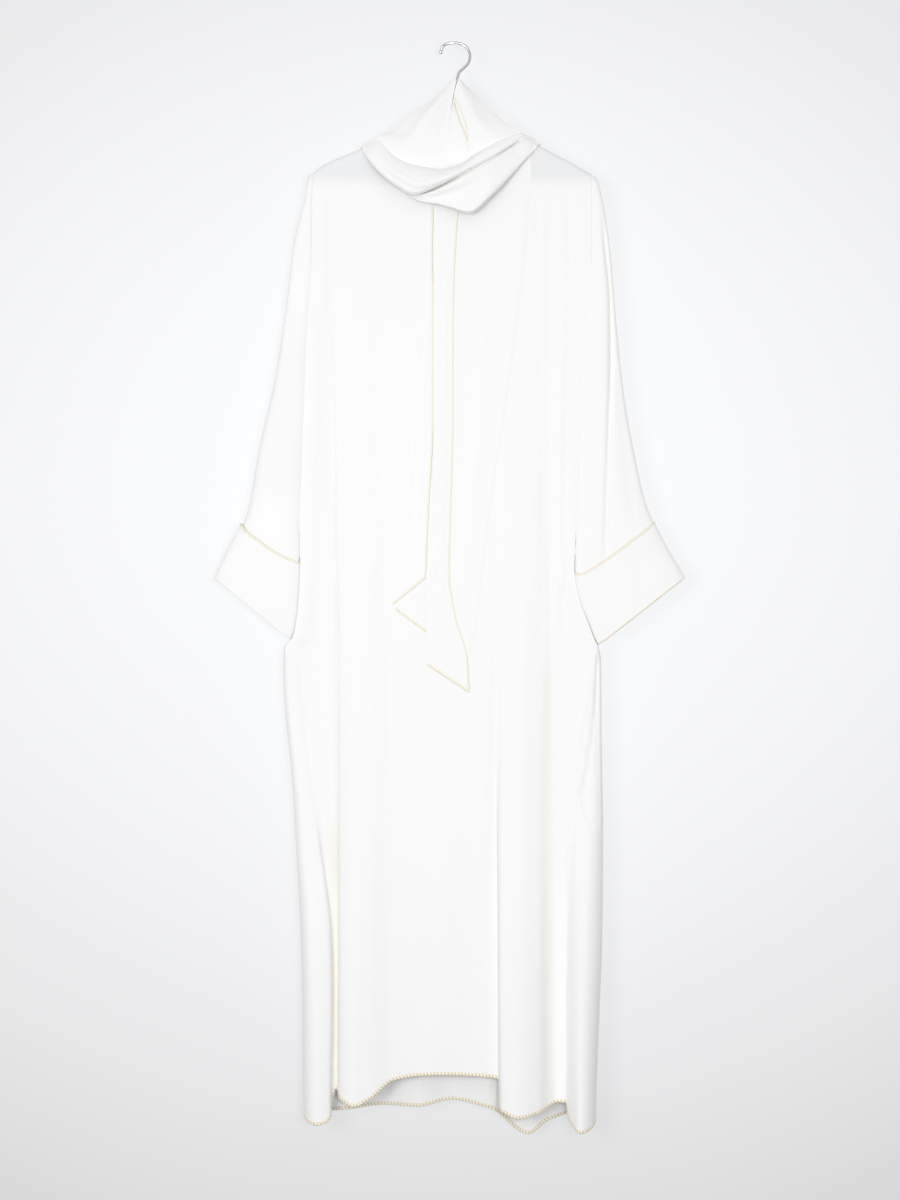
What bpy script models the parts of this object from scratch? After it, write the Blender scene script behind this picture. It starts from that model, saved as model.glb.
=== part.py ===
"""A pull-over abaya with a wound scarf, hanging from the wire hook of a hanger.

The origin is the inside top of the hook. Tables are in millimetres: across is +X, down is the
distance below the origin and forward is -Y, towards whoever looks at the front.
"""

import math
from collections import namedtuple

import bmesh
import bpy
from mathutils import Vector

MM = 0.001
CLOTH = 1.5  # thickness of a cloth wall
SEAM = 0.3  # gap between two pieces at a seam
WIRE_RADIUS = 1.75
BAR_RADIUS = 5.0
BAR_SINK = 6.15  # from the cloth's middle on the shoulder line to the bar's own middle, square to it
BAR_STEPS = 16
ROLL = 7.0  # how far the cloth on the hanger arm turns forward or back
ARM_RISE = 7.8  # height of that turn, measured straight down
HANGER_ENDS = (-197.0, 190.0)
HOOK_STEPS = 36
HOOK_SIDES, BAR_SIDES = 2, 3  # steps round a quarter of the wire and of the bar
NECK_HALF = 76.0
NECK_CLEAR = 4.0  # the scarf keeps this far above the neckline's edge
NECK_CURVE = 60.0  # the neckline starts to drop this far from the middle
NECK_DROP_FRONT, NECK_DROP_BACK = 80.0, 20.0
NECK_WIDTH = 1.6  # more makes the bottom of the neckline's curve wider
UNDERARM = 766.0
SIDE_GAP = 0.35  # half the gap between two edges that meet at a side seam
ARMHOLE_GAP = 3 * SEAM  # a sleeve's edge keeps this far from the panels' edges
ARMHOLE_STEP = 0.1  # and stands this much further from the middle than they do
CUFF_ROOM = 4.4  # a closed sleeve stands off the body's side by this, which leaves room for its cuff

# Levels of the fold tables, as distances below the hook
SHOULDER, ELBOW, WAIST, KNEE, HEM = 200.0, 640.0, 905.0, 1300.0, 1560.0
FOLD_LEVELS = (SHOULDER, ELBOW, WAIST, KNEE, HEM)
FOLD_COLUMNS = 3  # columns of the grid from one fold line to the next

# The cloth's middle where it lies over the hanger's arms: across and down
SHOULDER_LINE = (
    (-209.0, 190.5), (-189.0, 176.0), (-152.0, 160.0), (-74.0, 127.5), (0.0, 97.0),
    (74.0, 125.0), (126.0, 151.0), (152.0, 164.5), (176.0, 177.5), (199.0, 191.0),
)

# Side edges of the body: armhole seams down to the underarm, side seams below it
LEFT_EDGE = (
    (188, -206.5), (240, -208.5), (320, -209.0), (432, -216.0), (543, -220.0), (691, -225.5), (766, -226.5),
    (812, -228.5), (850, -233.0), (872, -238.0), (890, -249.0), (912, -250.5), (963, -248.5),
    (1069, -238.0), (1166, -232.0), (1287, -225.5), (1403, -222.5), (1518, -222.0), (1570, -220.0),
)
RIGHT_EDGE = (
    (190, 199.0), (323, 198.0), (395, 193.0), (543, 182.5), (691, 177.0), (766, 174.5),
    (812, 182.0), (844, 194.5), (867, 203.0), (880, 209.0), (900, 213.0), (1033, 214.0),
    (1147, 216.0), (1287, 215.0), (1426, 210.0), (1518, 206.5), (1574, 205.0),
)
# How far the front and back edges of an armhole stand apart from the middle
ARMHOLE_DEPTH = (
    (200, 7.0), (320, 9.0), (640, 13.0), (700, 12.0), (740, 7.0), (UNDERARM, SIDE_GAP),
    (1600, SIDE_GAP),
)

# A row for each fold. side says what across is measured from, at the five levels;
# depth is how far the cloth stands out, and hem how far down it ends.
Fold = namedtuple("Fold", "name side across depth hem")
FRONT_FOLDS = (
    Fold("left side lobe", "left", (5, 7, 9, 20, 22), (7, 13, 13, 38, 44), 1571),
    Fold("left lobe inner", "left", (14, 24, 18, 45, 39), (7, 12, 9, 12, 12), 1553),
    Fold("left valley", "middle", (-187, -178, -170, -170, -173), (7, 8, 9, 11, 12), 1520),
    Fold("mid left crest", "middle", (-164, -154, -150, -146, -146), (7, 13, 18, 28, 33), 1542),
    Fold("mid left edge", "middle", (-120, -112, -110, -102, -94), (7, 9, 12, 17, 21), 1515),
    Fold("centre left side", "middle", (-62, -62, -62, -60, -58), (7, 9.5, 12.5, 17, 20), 1504),
    Fold("centre left", "middle", (-20, -20, -20, -20, -20), (7, 10, 13, 17, 19), 1501),
    Fold("centre right", "middle", (50, 54, 56, 56, 56), (7, 10, 12, 16, 18), 1511),
    Fold("mid right edge", "middle", (68, 68, 67, 67, 68), (7, 11, 15, 33, 40), 1548),
    Fold("mid right crest", "middle", (100, 100, 100, 99, 99), (7, 12, 19, 38, 47), 1558),
    Fold("mid right end", "middle", (126, 127, 127, 127, 126), (7, 10, 14, 30, 36), 1551),
    Fold("right valley", "middle", (136, 137, 138, 138, 137), (7, 8, 9, 11, 13), 1541),
    Fold("right lobe inner", "right", (14, 15, 14, 52, 45), (7, 12, 10, 14, 15), 1551),
    Fold("right side lobe", "right", (5, 7, 8, 28, 23), (7, 13, 13, 40, 49), 1579),
)
BACK_FOLDS = (
    Fold("left side lobe", "left", (5, 7, 12, 24, 28), (7, 13, 10, 20, 24), 1563),
    Fold("left valley", "middle", (-186, -176, -176, -168, -160), (7, 9, 10, 11, 12), 1558),
    Fold("left crest", "middle", (-130, -124, -120, -112, -108), (7, 13, 18, 24, 28), 1555),
    Fold("centre left valley", "middle", (-60, -58, -56, -54, -52), (7, 9, 10, 12, 13), 1554),
    Fold("centre crest", "middle", (-10, -8, -8, -6, -5), (7, 12, 17, 23, 26), 1547),
    Fold("centre right valley", "middle", (42, 44, 46, 48, 50), (7, 9, 11, 12, 12), 1556),
    Fold("right crest", "middle", (100, 102, 104, 106, 108), (7, 13, 17, 22, 24), 1597),
    Fold("right valley", "middle", (134, 138, 140, 140, 140), (7, 9, 10, 11, 13), 1573),
    Fold("right side lobe", "right", (5, 7, 12, 28, 28), (7, 13, 12, 24, 28), 1566),
)
SIDE_HEMS = (1563.0, 1567.0)  # how far down the left and right side seams end

# Levels of the body's cloth: shares of the turn over the arm, then from below it to above the hem
TURN_LEVELS = (0.0, 0.07, 0.27, 0.6, 1.0)
TURN_END = 260.0  # levels above this keep LEVEL_STEP below the turn
LEVEL_STEP = 6.0
BODY_LEVELS = (230, 300, 400, 520, 640, 700, 740, 766, 812, 850, 872, 890, 912, 963, 1050, 1150,
               1250, 1350, 1450)

# A row for each section of a sleeve: where its armhole edge and its outer fold lie,
# its depth in front and behind, and how far the section is closed at the inner side
Section = namedtuple("Section", "inner_down outer outer_down front back closed")
LEFT_SLEEVE = (
    Section(190.5, -211.5, 190.5, 5.0, 5.0, 0.0),
    Section(196.5, -214.0, 196, 7.2, 7.2, 0.0),
    Section(230, -219.0, 227, 9.0, 8.6, 0.0),
    Section(300, -234.5, 290, 11.0, 10.0, 0.0),
    Section(400, -245.5, 378, 13.5, 12.0, 0.0),
    Section(520, -262.0, 488, 16.5, 14.0, 0.0),
    Section(640, -287.0, 600, 18.5, 15.5, 0.0),
    Section(700, -297.0, 660, 19.5, 16.0, 0.0),
    Section(740, -304.0, 690, 20.0, 16.0, 0.6),
    Section(766, -309.5, 704, 20.0, 16.0, 1.0),
    Section(812, -325.0, 733, 19.0, 15.5, 1.0),
    Section(850, -339.0, 761, 18.0, 15.0, 1.0),
    Section(868, -347.0, 780, 17.0, 14.0, 1.0),
)
RIGHT_SLEEVE = (
    Section(193, 204.5, 195, 5.0, 5.0, 0.0),
    Section(198.8, 208.5, 202, 7.2, 7.2, 0.0),
    Section(230, 216.0, 234, 9.0, 8.6, 0.0),
    Section(300, 226.0, 300, 11.0, 10.0, 0.0),
    Section(400, 234.0, 396, 13.5, 12.0, 0.0),
    Section(520, 246.5, 514, 16.5, 14.0, 0.0),
    Section(640, 265.0, 616, 18.5, 15.5, 0.0),
    Section(700, 275.0, 660, 19.5, 16.0, 0.0),
    Section(740, 283.0, 684, 20.0, 16.0, 0.6),
    Section(766, 290.5, 701, 20.0, 16.0, 1.0),
    Section(812, 305.0, 731, 19.0, 15.5, 1.0),
    Section(850, 320.0, 757, 18.0, 15.0, 1.0),
    Section(868, 329.0, 776, 17.0, 14.0, 1.0),
)
CUFF_SECTIONS = 4  # the last sections of a sleeve, which its cuff goes round
CUFF_LAP = 0.8  # how far the cuff reaches below the sleeve's end
CUFF_ROUND = 0.8  # how much further it stands off at the outer fold
CUFF_FLARE = 7.0  # how far the cuff's top edge stands off the sleeve
CUFF_TANGENT = 0.8  # shares of a column on either side that give the cuff's outward direction
SLEEVE_BULGE = 0.62  # 0.5 is a round section, more is a flatter one
SLEEVE_COLUMNS = 24
CREASE_FADE = 60.0

# A fold down the front of a sleeve: across is the share of the width from the armhole edge
Crease = namedtuple("Crease", "across width depth start end")
SLEEVE_CREASES = {
    "left": (Crease(0.45, 0.16, 3.0, 300, 760),),
    "right": (Crease(0.52, 0.12, 6.0, 300, 730), Crease(0.25, 0.10, 2.5, 420, 740)),
}

# A row for each station along a stretch of the scarf: one edge, the other edge, and
# how far the cloth between them rounds out
Station = namedtuple("Station", "across down forward to_across to_down to_forward bulge")
SCARF_STRETCHES = {
    # the part drawn up to the hook: from the stem down to inside the wound bands
    "scarf_rise_left": (
        Station(1.5, 54, 6, -10, 57, 0, 2),
        Station(-1.0, 82, 14, -35, 82, 1, 4),
        Station(-5.5, 108, 20, -71, 109, 1, 7),
        Station(-9.0, 135, 23, -97, 128, 1, 9),
        Station(-10.0, 160, 22, -95, 145, 12, 5),
        Station(-10.0, 180, 20, -84, 165, 13, 4),
    ),
    "scarf_rise_right": (
        Station(4.5, 53, 6, 9, 53, 0, 2),
        Station(4.5, 80, 14, 34, 79, 1, 4),
        Station(7.0, 104, 19, 58, 103, 1, 6),
        Station(13.0, 124, 21, 78, 117, 1, 6),
        Station(18.0, 145, 21, 80, 136, 12, 4),
        Station(22.0, 168, 20, 72, 156, 13, 3),
    ),
    "scarf_rise_under": (
        Station(-4.0, 84, 12, 10, 84, 12, 0),
        Station(-13.0, 112, 17.5, 21, 112, 17.4, 0),
        Station(-19.0, 140, 19, 28, 140, 19, 0),
        Station(-20.0, 172, 18, 32, 172, 18, 0),
    ),
    "scarf_rise_back": (
        Station(10.5, 54, -3, -11.0, 58, -3, -6),
        Station(34, 80, -1.5, -35, 82, -1.5, -9),
        Station(58, 103, -1, -70, 107, -1, -12),
        Station(76, 113, -1, -94, 123, -1, -12),
    ),
    # the wound bands, from the left shoulder or the pinch to the right shoulder
    "scarf_band_upper": (
        Station(-112, 134, 0.6, -138, 150, 0.6, 1),
        Station(-105, 146, 14, -130, 166, 11, 5),
        Station(-92, 163, 25, -112, 190, 18, 8),
        Station(-70, 177, 32, -85, 213, 24, 9),
        Station(-44, 184, 36, -60, 226, 28, 10),
        Station(-20, 188, 38, -36, 219, 31, 9),
        Station(8, 181, 37, -4, 204, 33, 7),
        Station(31, 165, 34, 29, 186.5, 31, 6),
        Station(53, 151, 28, 58, 169, 26, 5),
        Station(75, 139, 19, 81, 152, 17, 4),
        Station(95, 132, 9, 98, 139, 9, 3),
        Station(105, 133, 0.6, 109, 136, 0.6, 1),
    ),
    "scarf_band_lower": (
        Station(-53, 223, 20, -52, 228, 20, 1),
        Station(-34, 220.5, 25, -33, 229, 25, 3),
        Station(-8, 210, 30, -6, 224, 30, 5),
        Station(18, 197, 32, 22, 216, 31, 7),
        Station(40, 185, 30, 47, 203, 28, 7),
        Station(63, 170.5, 24, 70, 187, 22, 6),
        Station(83, 156, 16, 91, 168.5, 15, 4),
        Station(101, 143, 9, 106, 151, 10, 3),
        Station(111, 137, 0.6, 116, 140, 0.6, 1),
    ),
    "scarf_band_end": (
        Station(-50, 231, 19, -48, 235, 18, 1),
        Station(-32, 231.5, 24, -27, 238, 22, 2),
        Station(-5, 227, 28, -3, 245, 25, 5),
        Station(22.5, 219, 29, 21, 252, 26, 7),
        Station(48.5, 206, 26, 53, 226, 24, 6),
        Station(71.5, 190, 20, 79, 199, 18, 4),
        Station(92.5, 171.5, 13.5, 98, 177, 13, 2),
        Station(108, 154, 10, 113, 160, 10, 1),
        Station(118, 141, 0.6, 126, 145, 0.6, 1),
    ),
    "scarf_band_back": (
        Station(-112, 134, -0.6, -138, 150, -0.6, -1),
        Station(-108, 133, -9, -133, 160, -9.5, -2),
        Station(-98, 134, -18, -119, 172, -13, -5),
        Station(-62, 130, -27, -72, 182, -20, -6),
        Station(-2, 126, -30, -2, 186, -24, -6),
        Station(60, 128, -27, 68, 180, -21, -6),
        Station(96, 132, -17, 108, 166, -12, -4),
        Station(105, 132.5, -9, 120, 155, -9.5, -2),
        Station(108, 134, -0.6, 126, 145, -0.6, -1),
    ),
}
# How far the drawn-up part and the wound bands lie off the cloth on the shoulders
RISE_LIFT, BAND_LIFT = 0.2, 1.4
SCARF_ROUND = 0.8  # less makes a stretch's section flatter on top
SCARF_COLUMNS, SCARF_ROWS = 2, 6  # columns of the grid to a station, rows from edge to edge
END_COLUMNS, END_EXTRA_ROWS = 6, 3

# A row for each level of a hanging scarf end: its two edges and how far it lies off the body
Drop = namedtuple("Drop", "left left_down right right_down off")
SCARF_ENDS = {
    "scarf_end_left": (
        Drop(-41, 226, -34.0, 226, 4.0), Drop(-42, 262, -34.6, 262, 5.0),
        Drop(-43, 313, -36, 313, 5.0), Drop(-51, 358, -34.2, 358, 5.0),
        Drop(-54, 424, -34.2, 424, 5.0), Drop(-60, 469, -33.6, 469, 5.0),
        Drop(-64, 549, -34.0, 549, 4.8), Drop(-70, 619, -37.0, 619, 4.5),
        Drop(-80, 681, -41, 681, 4.2), Drop(-86, 760, -43, 756, 3.6),
        Drop(-89, 818, -41.2, 820, 2.6), Drop(-86, 824, -41.0, 858, 2.3),
    ),
    "scarf_end_right_under": (
        Drop(-31.4, 236, 111, 164, 2.6), Drop(-31.4, 262, 110, 195, 2.6),
        Drop(-31.4, 300, 107, 247, 3.0), Drop(-31.4, 330, 103, 301, 3.0),
        Drop(-31.4, 372, 96, 369, 3.0), Drop(-31.4, 465, 83, 465, 3.0),
        Drop(-31.4, 549, 71, 549, 3.0), Drop(-33.5, 681, 51, 681, 3.0),
        Drop(-35.5, 775, 40, 775, 3.0), Drop(-38.5, 842, 30, 855, 3.0),
        Drop(-39.0, 896, 20, 896, 3.0),
    ),
    "scarf_end_right_over": (
        Drop(-31.4, 236, 6, 236, 8.0), Drop(-31.4, 283, 2, 283, 7.0),
        Drop(-31.4, 358, -1.5, 358, 6.6), Drop(-31.4, 413, -2, 413, 6.4),
        Drop(-31.4, 492, -2.5, 492, 6.4), Drop(-31.4, 555, -2.5, 555, 6.4),
        Drop(-33.5, 681, -6, 681, 6.2), Drop(-35.5, 770, -8, 770, 6.0),
        Drop(-38, 836, 0, 836, 5.3), Drop(-40, 885, 17, 890, 4.95),
        Drop(-41, 905, 20, 946, 4.9),
    ),
}

HOOK_ARC = ((-21.5, 14.0), (-17.5, 3.5), (-9.0, -1.0), (0.0, -WIRE_RADIUS), (10.0, 0.5),
            (18.5, 7.0), (22.0, 17.0), (20.0, 27.0), (13.0, 35.0), (5.5, 42.0), (3.0, 50.0),
            (2.0, 64.0), (1.0, 78.0), (0.0, 90.0))


def along(knots, at):
    """Value at a position on a smooth line through (position, value) knots, without overshoot."""
    if at <= knots[0][0]:
        return knots[0][1]
    if at >= knots[-1][0]:
        return knots[-1][1]
    steps = [(b[1] - a[1]) / (b[0] - a[0]) for a, b in zip(knots, knots[1:])]
    slopes = [steps[0]]
    for before, after in zip(steps, steps[1:]):
        level = before * after <= 0
        slopes.append(0.0 if level else 2 * before * after / (before + after))
    slopes.append(steps[-1])
    i = max(k for k in range(len(steps)) if knots[k][0] <= at)
    width = knots[i + 1][0] - knots[i][0]
    t = (at - knots[i][0]) / width
    return (
        knots[i][1] * (1 + 2 * t) * (1 - t) ** 2
        + slopes[i] * width * t * (1 - t) ** 2
        + knots[i + 1][1] * t * t * (3 - 2 * t)
        - slopes[i + 1] * width * t * t * (1 - t)
    )


def ease(t):
    """Smooth step from 0 to 1, level at both ends."""
    return 0.5 - 0.5 * math.cos(math.pi * min(max(t, 0.0), 1.0))


def place(across, down, forward):
    """A point in metres from the tables' millimetres."""
    return Vector((across, -forward, -down)) * MM


def shoulder_line(across):
    """How far below the hook the cloth's middle lies on the hanger's arms."""
    return along(SHOULDER_LINE, across)


def neck_turn(across):
    """1 inside the neckline, where the cloth's edges stand clear of the bar, 0 outside it."""
    return ease((NECK_HALF - abs(across)) / (NECK_HALF - NECK_CURVE))


def shoulder_turn(across, down):
    """0 on the shoulder line, 1 once the cloth has turned down off the arm or at the neckline."""
    fall = (down - shoulder_line(across)) / ARM_RISE
    if fall >= 1:
        return 1.0
    turned = math.sqrt(max(0.0, 1 - (1 - max(fall, 0.0)) ** 2))
    return max(turned, neck_turn(across))


def body_edges(down):
    return along(LEFT_EDGE, down), along(RIGHT_EDGE, down)


def armhole_depth(edge, down):
    """How far the panels' side edges stand from the middle, front or back."""
    return SIDE_GAP + (along(ARMHOLE_DEPTH, down) - SIDE_GAP) * shoulder_turn(edge, down)


def fold_line(fold, down):
    """Across and depth of one fold at a level."""
    left, right = body_edges(down)
    base = along(tuple(zip(FOLD_LEVELS, fold.across)), down)
    across = {"left": left + base, "right": right - base, "middle": base}[fold.side]
    return across, along(tuple(zip(FOLD_LEVELS, fold.depth)), down)


def front_depth(across, down):
    """How far forward the front panel's middle surface stands at a place away from its edges."""
    lines = [fold_line(fold, down) for fold in FRONT_FOLDS]
    for (x0, y0), (x1, y1) in zip(lines, lines[1:]):
        if x0 <= across <= x1:
            depth = y0 + (y1 - y0) * ease((across - x0) / (x1 - x0))
            return depth * shoulder_turn(across, down)
    return lines[0][1] if across < lines[0][0] else lines[-1][1]


def clear_of_body(across, down, forward, lift):
    """A place of the scarf, moved outwards until it clears the cloth on the hanger by lift."""
    reach = ROLL + CLOTH + SEAM + lift
    side = 1 if forward >= 0 else -1
    axis = shoulder_line(across) + ARM_RISE
    fall = down - axis
    surface = front_depth(across, down) if side > 0 else ROLL
    if fall < 0:
        grow = max(1.0, reach / math.hypot(forward, fall))
        if fall < -ARM_RISE - NECK_CLEAR:
            surface = 0.0
        out = max(abs(forward) * grow, neck_turn(across) * (surface + reach - ROLL))
        return place(across, axis + fall * grow, side * out)
    return place(across, down, side * max(abs(forward), surface + reach - ROLL))


def new_collection(name):
    collection = bpy.data.collections.new(name)
    bpy.context.scene.collection.children.link(collection)
    return collection


def finish_material(name, colour, roughness, metallic=0.0):
    material = bpy.data.materials.new(name)
    material.use_nodes = True
    shader = material.node_tree.nodes["Principled BSDF"]
    shader.inputs["Base Color"].default_value = (*colour, 1.0)
    shader.inputs["Roughness"].default_value = roughness
    shader.inputs["Metallic"].default_value = metallic
    return material


def cloth_sheet(name, collection, columns, rows, point, closed=False):
    """A cloth wall on a grid of columns and rows, each corner moved to point(u, v)."""
    bm = bmesh.new()
    bmesh.ops.create_grid(bm, x_segments=columns, y_segments=rows, size=0.5)
    for vert in bm.verts:
        u, v = round((vert.co.x + 0.5) * columns), round((vert.co.y + 0.5) * rows)
        vert.co = point(u, v)
    if closed:
        bmesh.ops.remove_doubles(bm, verts=bm.verts, dist=1e-6)
    mesh = bpy.data.meshes.new(name)
    bm.to_mesh(mesh)
    bm.free()
    mesh.shade_smooth()
    piece = bpy.data.objects.new(name, mesh)
    collection.objects.link(piece)
    thick = piece.modifiers.new("cloth", "SOLIDIFY")
    thick.thickness = CLOTH * MM
    thick.offset = 0.0
    mesh.materials.append(finish_material(name + "_crepe", (0.86, 0.86, 0.85), 0.8))
    return piece


def body_panel(name, collection, folds, forward, neck_drop):
    """Front or back: forward is 1 for the front and -1 for the back."""
    stops = [
        (k, step / FOLD_COLUMNS) for k in range(len(folds) + 1) for step in range(FOLD_COLUMNS)
    ]
    stops.append((len(folds), 1.0))
    hems = (SIDE_HEMS[0], *(fold.hem for fold in folds), SIDE_HEMS[1])

    def across_and_depth(stop, down):
        k, t = stop
        left, right = body_edges(down)
        gap = along(ARMHOLE_DEPTH, down)
        if k == 0:
            x, y = fold_line(folds[0], down)
            turn = t * math.pi / 2
            return left + (x - left) * (1 - math.cos(turn)), gap + (y - gap) * math.sin(turn)
        if k == len(folds):
            x, y = fold_line(folds[-1], down)
            turn = (1 - t) * math.pi / 2
            return right + (x - right) * (1 - math.cos(turn)), gap + (y - gap) * math.sin(turn)
        (x0, y0), (x1, y1) = fold_line(folds[k - 1], down), fold_line(folds[k], down)
        return x0 + (x1 - x0) * t, y0 + (y1 - y0) * ease(t)

    def top_of(across):
        inside = 1 - min(abs(across) / NECK_CURVE, 1.0)
        return shoulder_line(across) + neck_drop * ease(inside * NECK_WIDTH)

    row_count = len(TURN_LEVELS) + len(BODY_LEVELS)

    def level(stop, row):
        k, t = stop
        top = top_of(across_and_depth(stop, SHOULDER)[0])
        if row < len(TURN_LEVELS):
            return top + TURN_LEVELS[row] * ARM_RISE
        if row == row_count:
            return hems[k] + (hems[k + 1] - hems[k]) * ease(t)
        down = BODY_LEVELS[row - len(TURN_LEVELS)]
        return max(down, top + ARM_RISE + LEVEL_STEP) if down < TURN_END else down

    def point(column, row):
        stop = stops[column]
        down = level(stop, row_count - row)
        across, depth = across_and_depth(stop, down)
        turned = SIDE_GAP + max(depth - SIDE_GAP, 0.0) * shoulder_turn(across, down)
        return place(across, down, forward * turned)

    return cloth_sheet(name, collection, len(stops) - 1, row_count, point)


def sleeve_ring(side, sections, row, angle):
    """A point of a sleeve's section, angle 0 at the front of its inner side, pi at the outer fold."""
    section = sections[row]
    edge = body_edges(section.inner_down)[0 if side == "left" else 1]
    outward = -1 if side == "left" else 1
    inner = edge + outward * (ARMHOLE_GAP + CUFF_ROOM * section.closed)
    front_half = angle <= math.pi
    depth = section.front if front_half else section.back
    apart = armhole_depth(edge, section.inner_down) + ARMHOLE_STEP
    start = math.asin(min(1.0, (apart / depth)) ** (1 / SLEEVE_BULGE))
    swing = angle if front_half else 2 * math.pi - angle
    turn = start + (math.pi - start) * swing / math.pi
    share = (math.cos(start) - math.cos(turn)) / (1 + math.cos(start))
    forward = depth * math.sin(turn) ** SLEEVE_BULGE if turn < math.pi else 0.0
    down = section.inner_down + (section.outer_down - section.inner_down) * share
    if front_half:
        for crease in SLEEVE_CREASES[side]:
            near = max(0.0, 1 - abs(share - crease.across) / crease.width)
            fade_in = ease((down - crease.start) / CREASE_FADE)
            fade_out = ease((crease.end - down) / CREASE_FADE)
            forward -= crease.depth * ease(near) * fade_in * fade_out
    else:
        forward = -forward
    return Vector((inner + (section.outer - inner) * share, -forward, -down))


def sleeve(side, collection, sections):
    """From its front armhole edge round the outside of the arm to the back one."""
    rows = len(sections) - 1

    def point(column, row):
        angle = 2 * math.pi * column / SLEEVE_COLUMNS
        return sleeve_ring(side, sections, rows - row, angle) * MM

    return cloth_sheet("sleeve_" + side, collection, SLEEVE_COLUMNS, rows, point)


def cuff(side, collection, sections):
    """The turned-up end: the sleeve's own sections moved out, more towards the top."""
    rings = sections[-CUFF_SECTIONS:]
    outward = -1 if side == "left" else 1

    def point(column, row):
        angle = 2 * math.pi * (column % SLEEVE_COLUMNS) / SLEEVE_COLUMNS
        rise = row / (CUFF_SECTIONS - 1)
        step = CUFF_TANGENT * math.pi / SLEEVE_COLUMNS
        ring = CUFF_SECTIONS - 1 - row
        ahead = sleeve_ring(side, rings, ring, min(angle + step, 2 * math.pi))
        behind = sleeve_ring(side, rings, ring, max(angle - step, 0.0))
        run = (ahead - behind).xy.normalized()
        away = Vector((run.y, -run.x, 0.0)) * outward
        if column % SLEEVE_COLUMNS == 0:
            away = Vector((-outward, 0.0, 0.0))
        flare = (CUFF_ROUND + CUFF_FLARE * rise) * (1 - math.cos(angle)) / 2
        on_sleeve = sleeve_ring(side, rings, ring, angle)
        lower = Vector((0.0, 0.0, -CUFF_LAP * (1 - rise)))
        return (on_sleeve + away * (CLOTH + 2 * SEAM + flare) + lower) * MM

    return cloth_sheet(
        "cuff_" + side, collection, SLEEVE_COLUMNS, CUFF_SECTIONS - 1, point, closed=True
    )


def tracks_of(table):
    """For each column of a table, its values as (row number, value) knots."""
    fields = table[0]._fields
    return {field: tuple((k, getattr(row, field)) for k, row in enumerate(table)) for field in fields}


def scarf_stretch(name, collection, stations, lift):
    """A loft through a table of stations, rounded out between its two edges."""
    tracks = tracks_of(stations)

    def point(column, row):
        s = Station(*(along(tracks[field], column / SCARF_COLUMNS) for field in Station._fields))
        t = row / SCARF_ROWS
        out = s.bulge * math.sin(math.pi * t) ** SCARF_ROUND if 0 < t < 1 else 0.0
        return clear_of_body(
            s.across + (s.to_across - s.across) * t,
            s.down + (s.to_down - s.down) * t,
            s.forward + (s.to_forward - s.forward) * t + out,
            lift,
        )

    columns = SCARF_COLUMNS * (len(stations) - 1)
    return cloth_sheet(name, collection, columns, SCARF_ROWS, point)


def scarf_end(name, collection, drops):
    """A hanging end: the front panel's points under it, moved out."""
    tracks = tracks_of(drops)
    rows = len(drops) + END_EXTRA_ROWS

    def point(column, row):
        u, at = column / END_COLUMNS, (len(drops) - 1) * (1 - row / rows)
        d = Drop(*(along(tracks[field], at) for field in Drop._fields))
        across = d.left + (d.right - d.left) * u
        down = d.left_down + (d.right_down - d.left_down) * u
        return clear_of_body(across, down, front_depth(across, down) + d.off, 0.0)

    return cloth_sheet(name, collection, END_COLUMNS, rows, point)


def wire(name, collection, points, radius, material, sides):
    """A round bar along points given as (across, down)."""
    curve = bpy.data.curves.new(name, "CURVE")
    curve.dimensions = "3D"
    curve.bevel_depth = radius * MM
    curve.bevel_resolution = sides
    curve.use_fill_caps = True
    spline = curve.splines.new("POLY")
    spline.points.add(len(points) - 1)
    for knot, (across, down) in zip(spline.points, points):
        knot.co = (*place(across, down, 0.0), 1.0)
    curve.materials.append(material)
    piece = bpy.data.objects.new(name, curve)
    collection.objects.link(piece)
    return piece


def smooth_route(points, steps):
    """Points on a smooth line through the given (across, down) points."""
    xs = tuple((k, p[0]) for k, p in enumerate(points))
    downs = tuple((k, p[1]) for k, p in enumerate(points))
    last = len(points) - 1
    return [(along(xs, last * i / steps), along(downs, last * i / steps)) for i in range(steps + 1)]


def hanger(collection):
    """The arms under the shoulders, and the wire hook over them."""
    chrome = finish_material("hook_chrome", (0.75, 0.76, 0.78), 0.18, 1.0)
    plain = finish_material("hanger_white", (0.82, 0.81, 0.78), 0.45)
    low, high = HANGER_ENDS
    run = [low + (high - low) * k / BAR_STEPS for k in range(BAR_STEPS + 1)]
    arms = []
    for across in run:
        slope = (shoulder_line(across + 1) - shoulder_line(across - 1)) / 2
        sink = BAR_SINK / math.hypot(1, slope)
        arms.append((across - slope * sink, shoulder_line(across) + sink))
    wire("hanger_bar", collection, arms, BAR_RADIUS, plain, BAR_SIDES)
    stem_end = arms[BAR_STEPS // 2][1] - BAR_RADIUS - SEAM
    route = [knot for knot in smooth_route(HOOK_ARC, HOOK_STEPS) if knot[1] < stem_end]
    route.append((0.0, stem_end))
    wire("hanger_hook", collection, route, WIRE_RADIUS, chrome, HOOK_SIDES)


def main():
    for leftover in list(bpy.data.objects):
        bpy.data.objects.remove(leftover)
    abaya = new_collection("abaya_on_hanger")
    hanger(abaya)
    body_panel("body_front", abaya, FRONT_FOLDS, 1, NECK_DROP_FRONT)
    body_panel("body_back", abaya, BACK_FOLDS, -1, NECK_DROP_BACK)
    for side, sections in (("left", LEFT_SLEEVE), ("right", RIGHT_SLEEVE)):
        sleeve(side, abaya, sections)
        cuff(side, abaya, sections)
    for name, stations in SCARF_STRETCHES.items():
        lift = RISE_LIFT if name.startswith("scarf_rise") else BAND_LIFT
        scarf_stretch(name, abaya, stations, lift)
    for name, drops in SCARF_ENDS.items():
        scarf_end(name, abaya, drops)


main()
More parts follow.
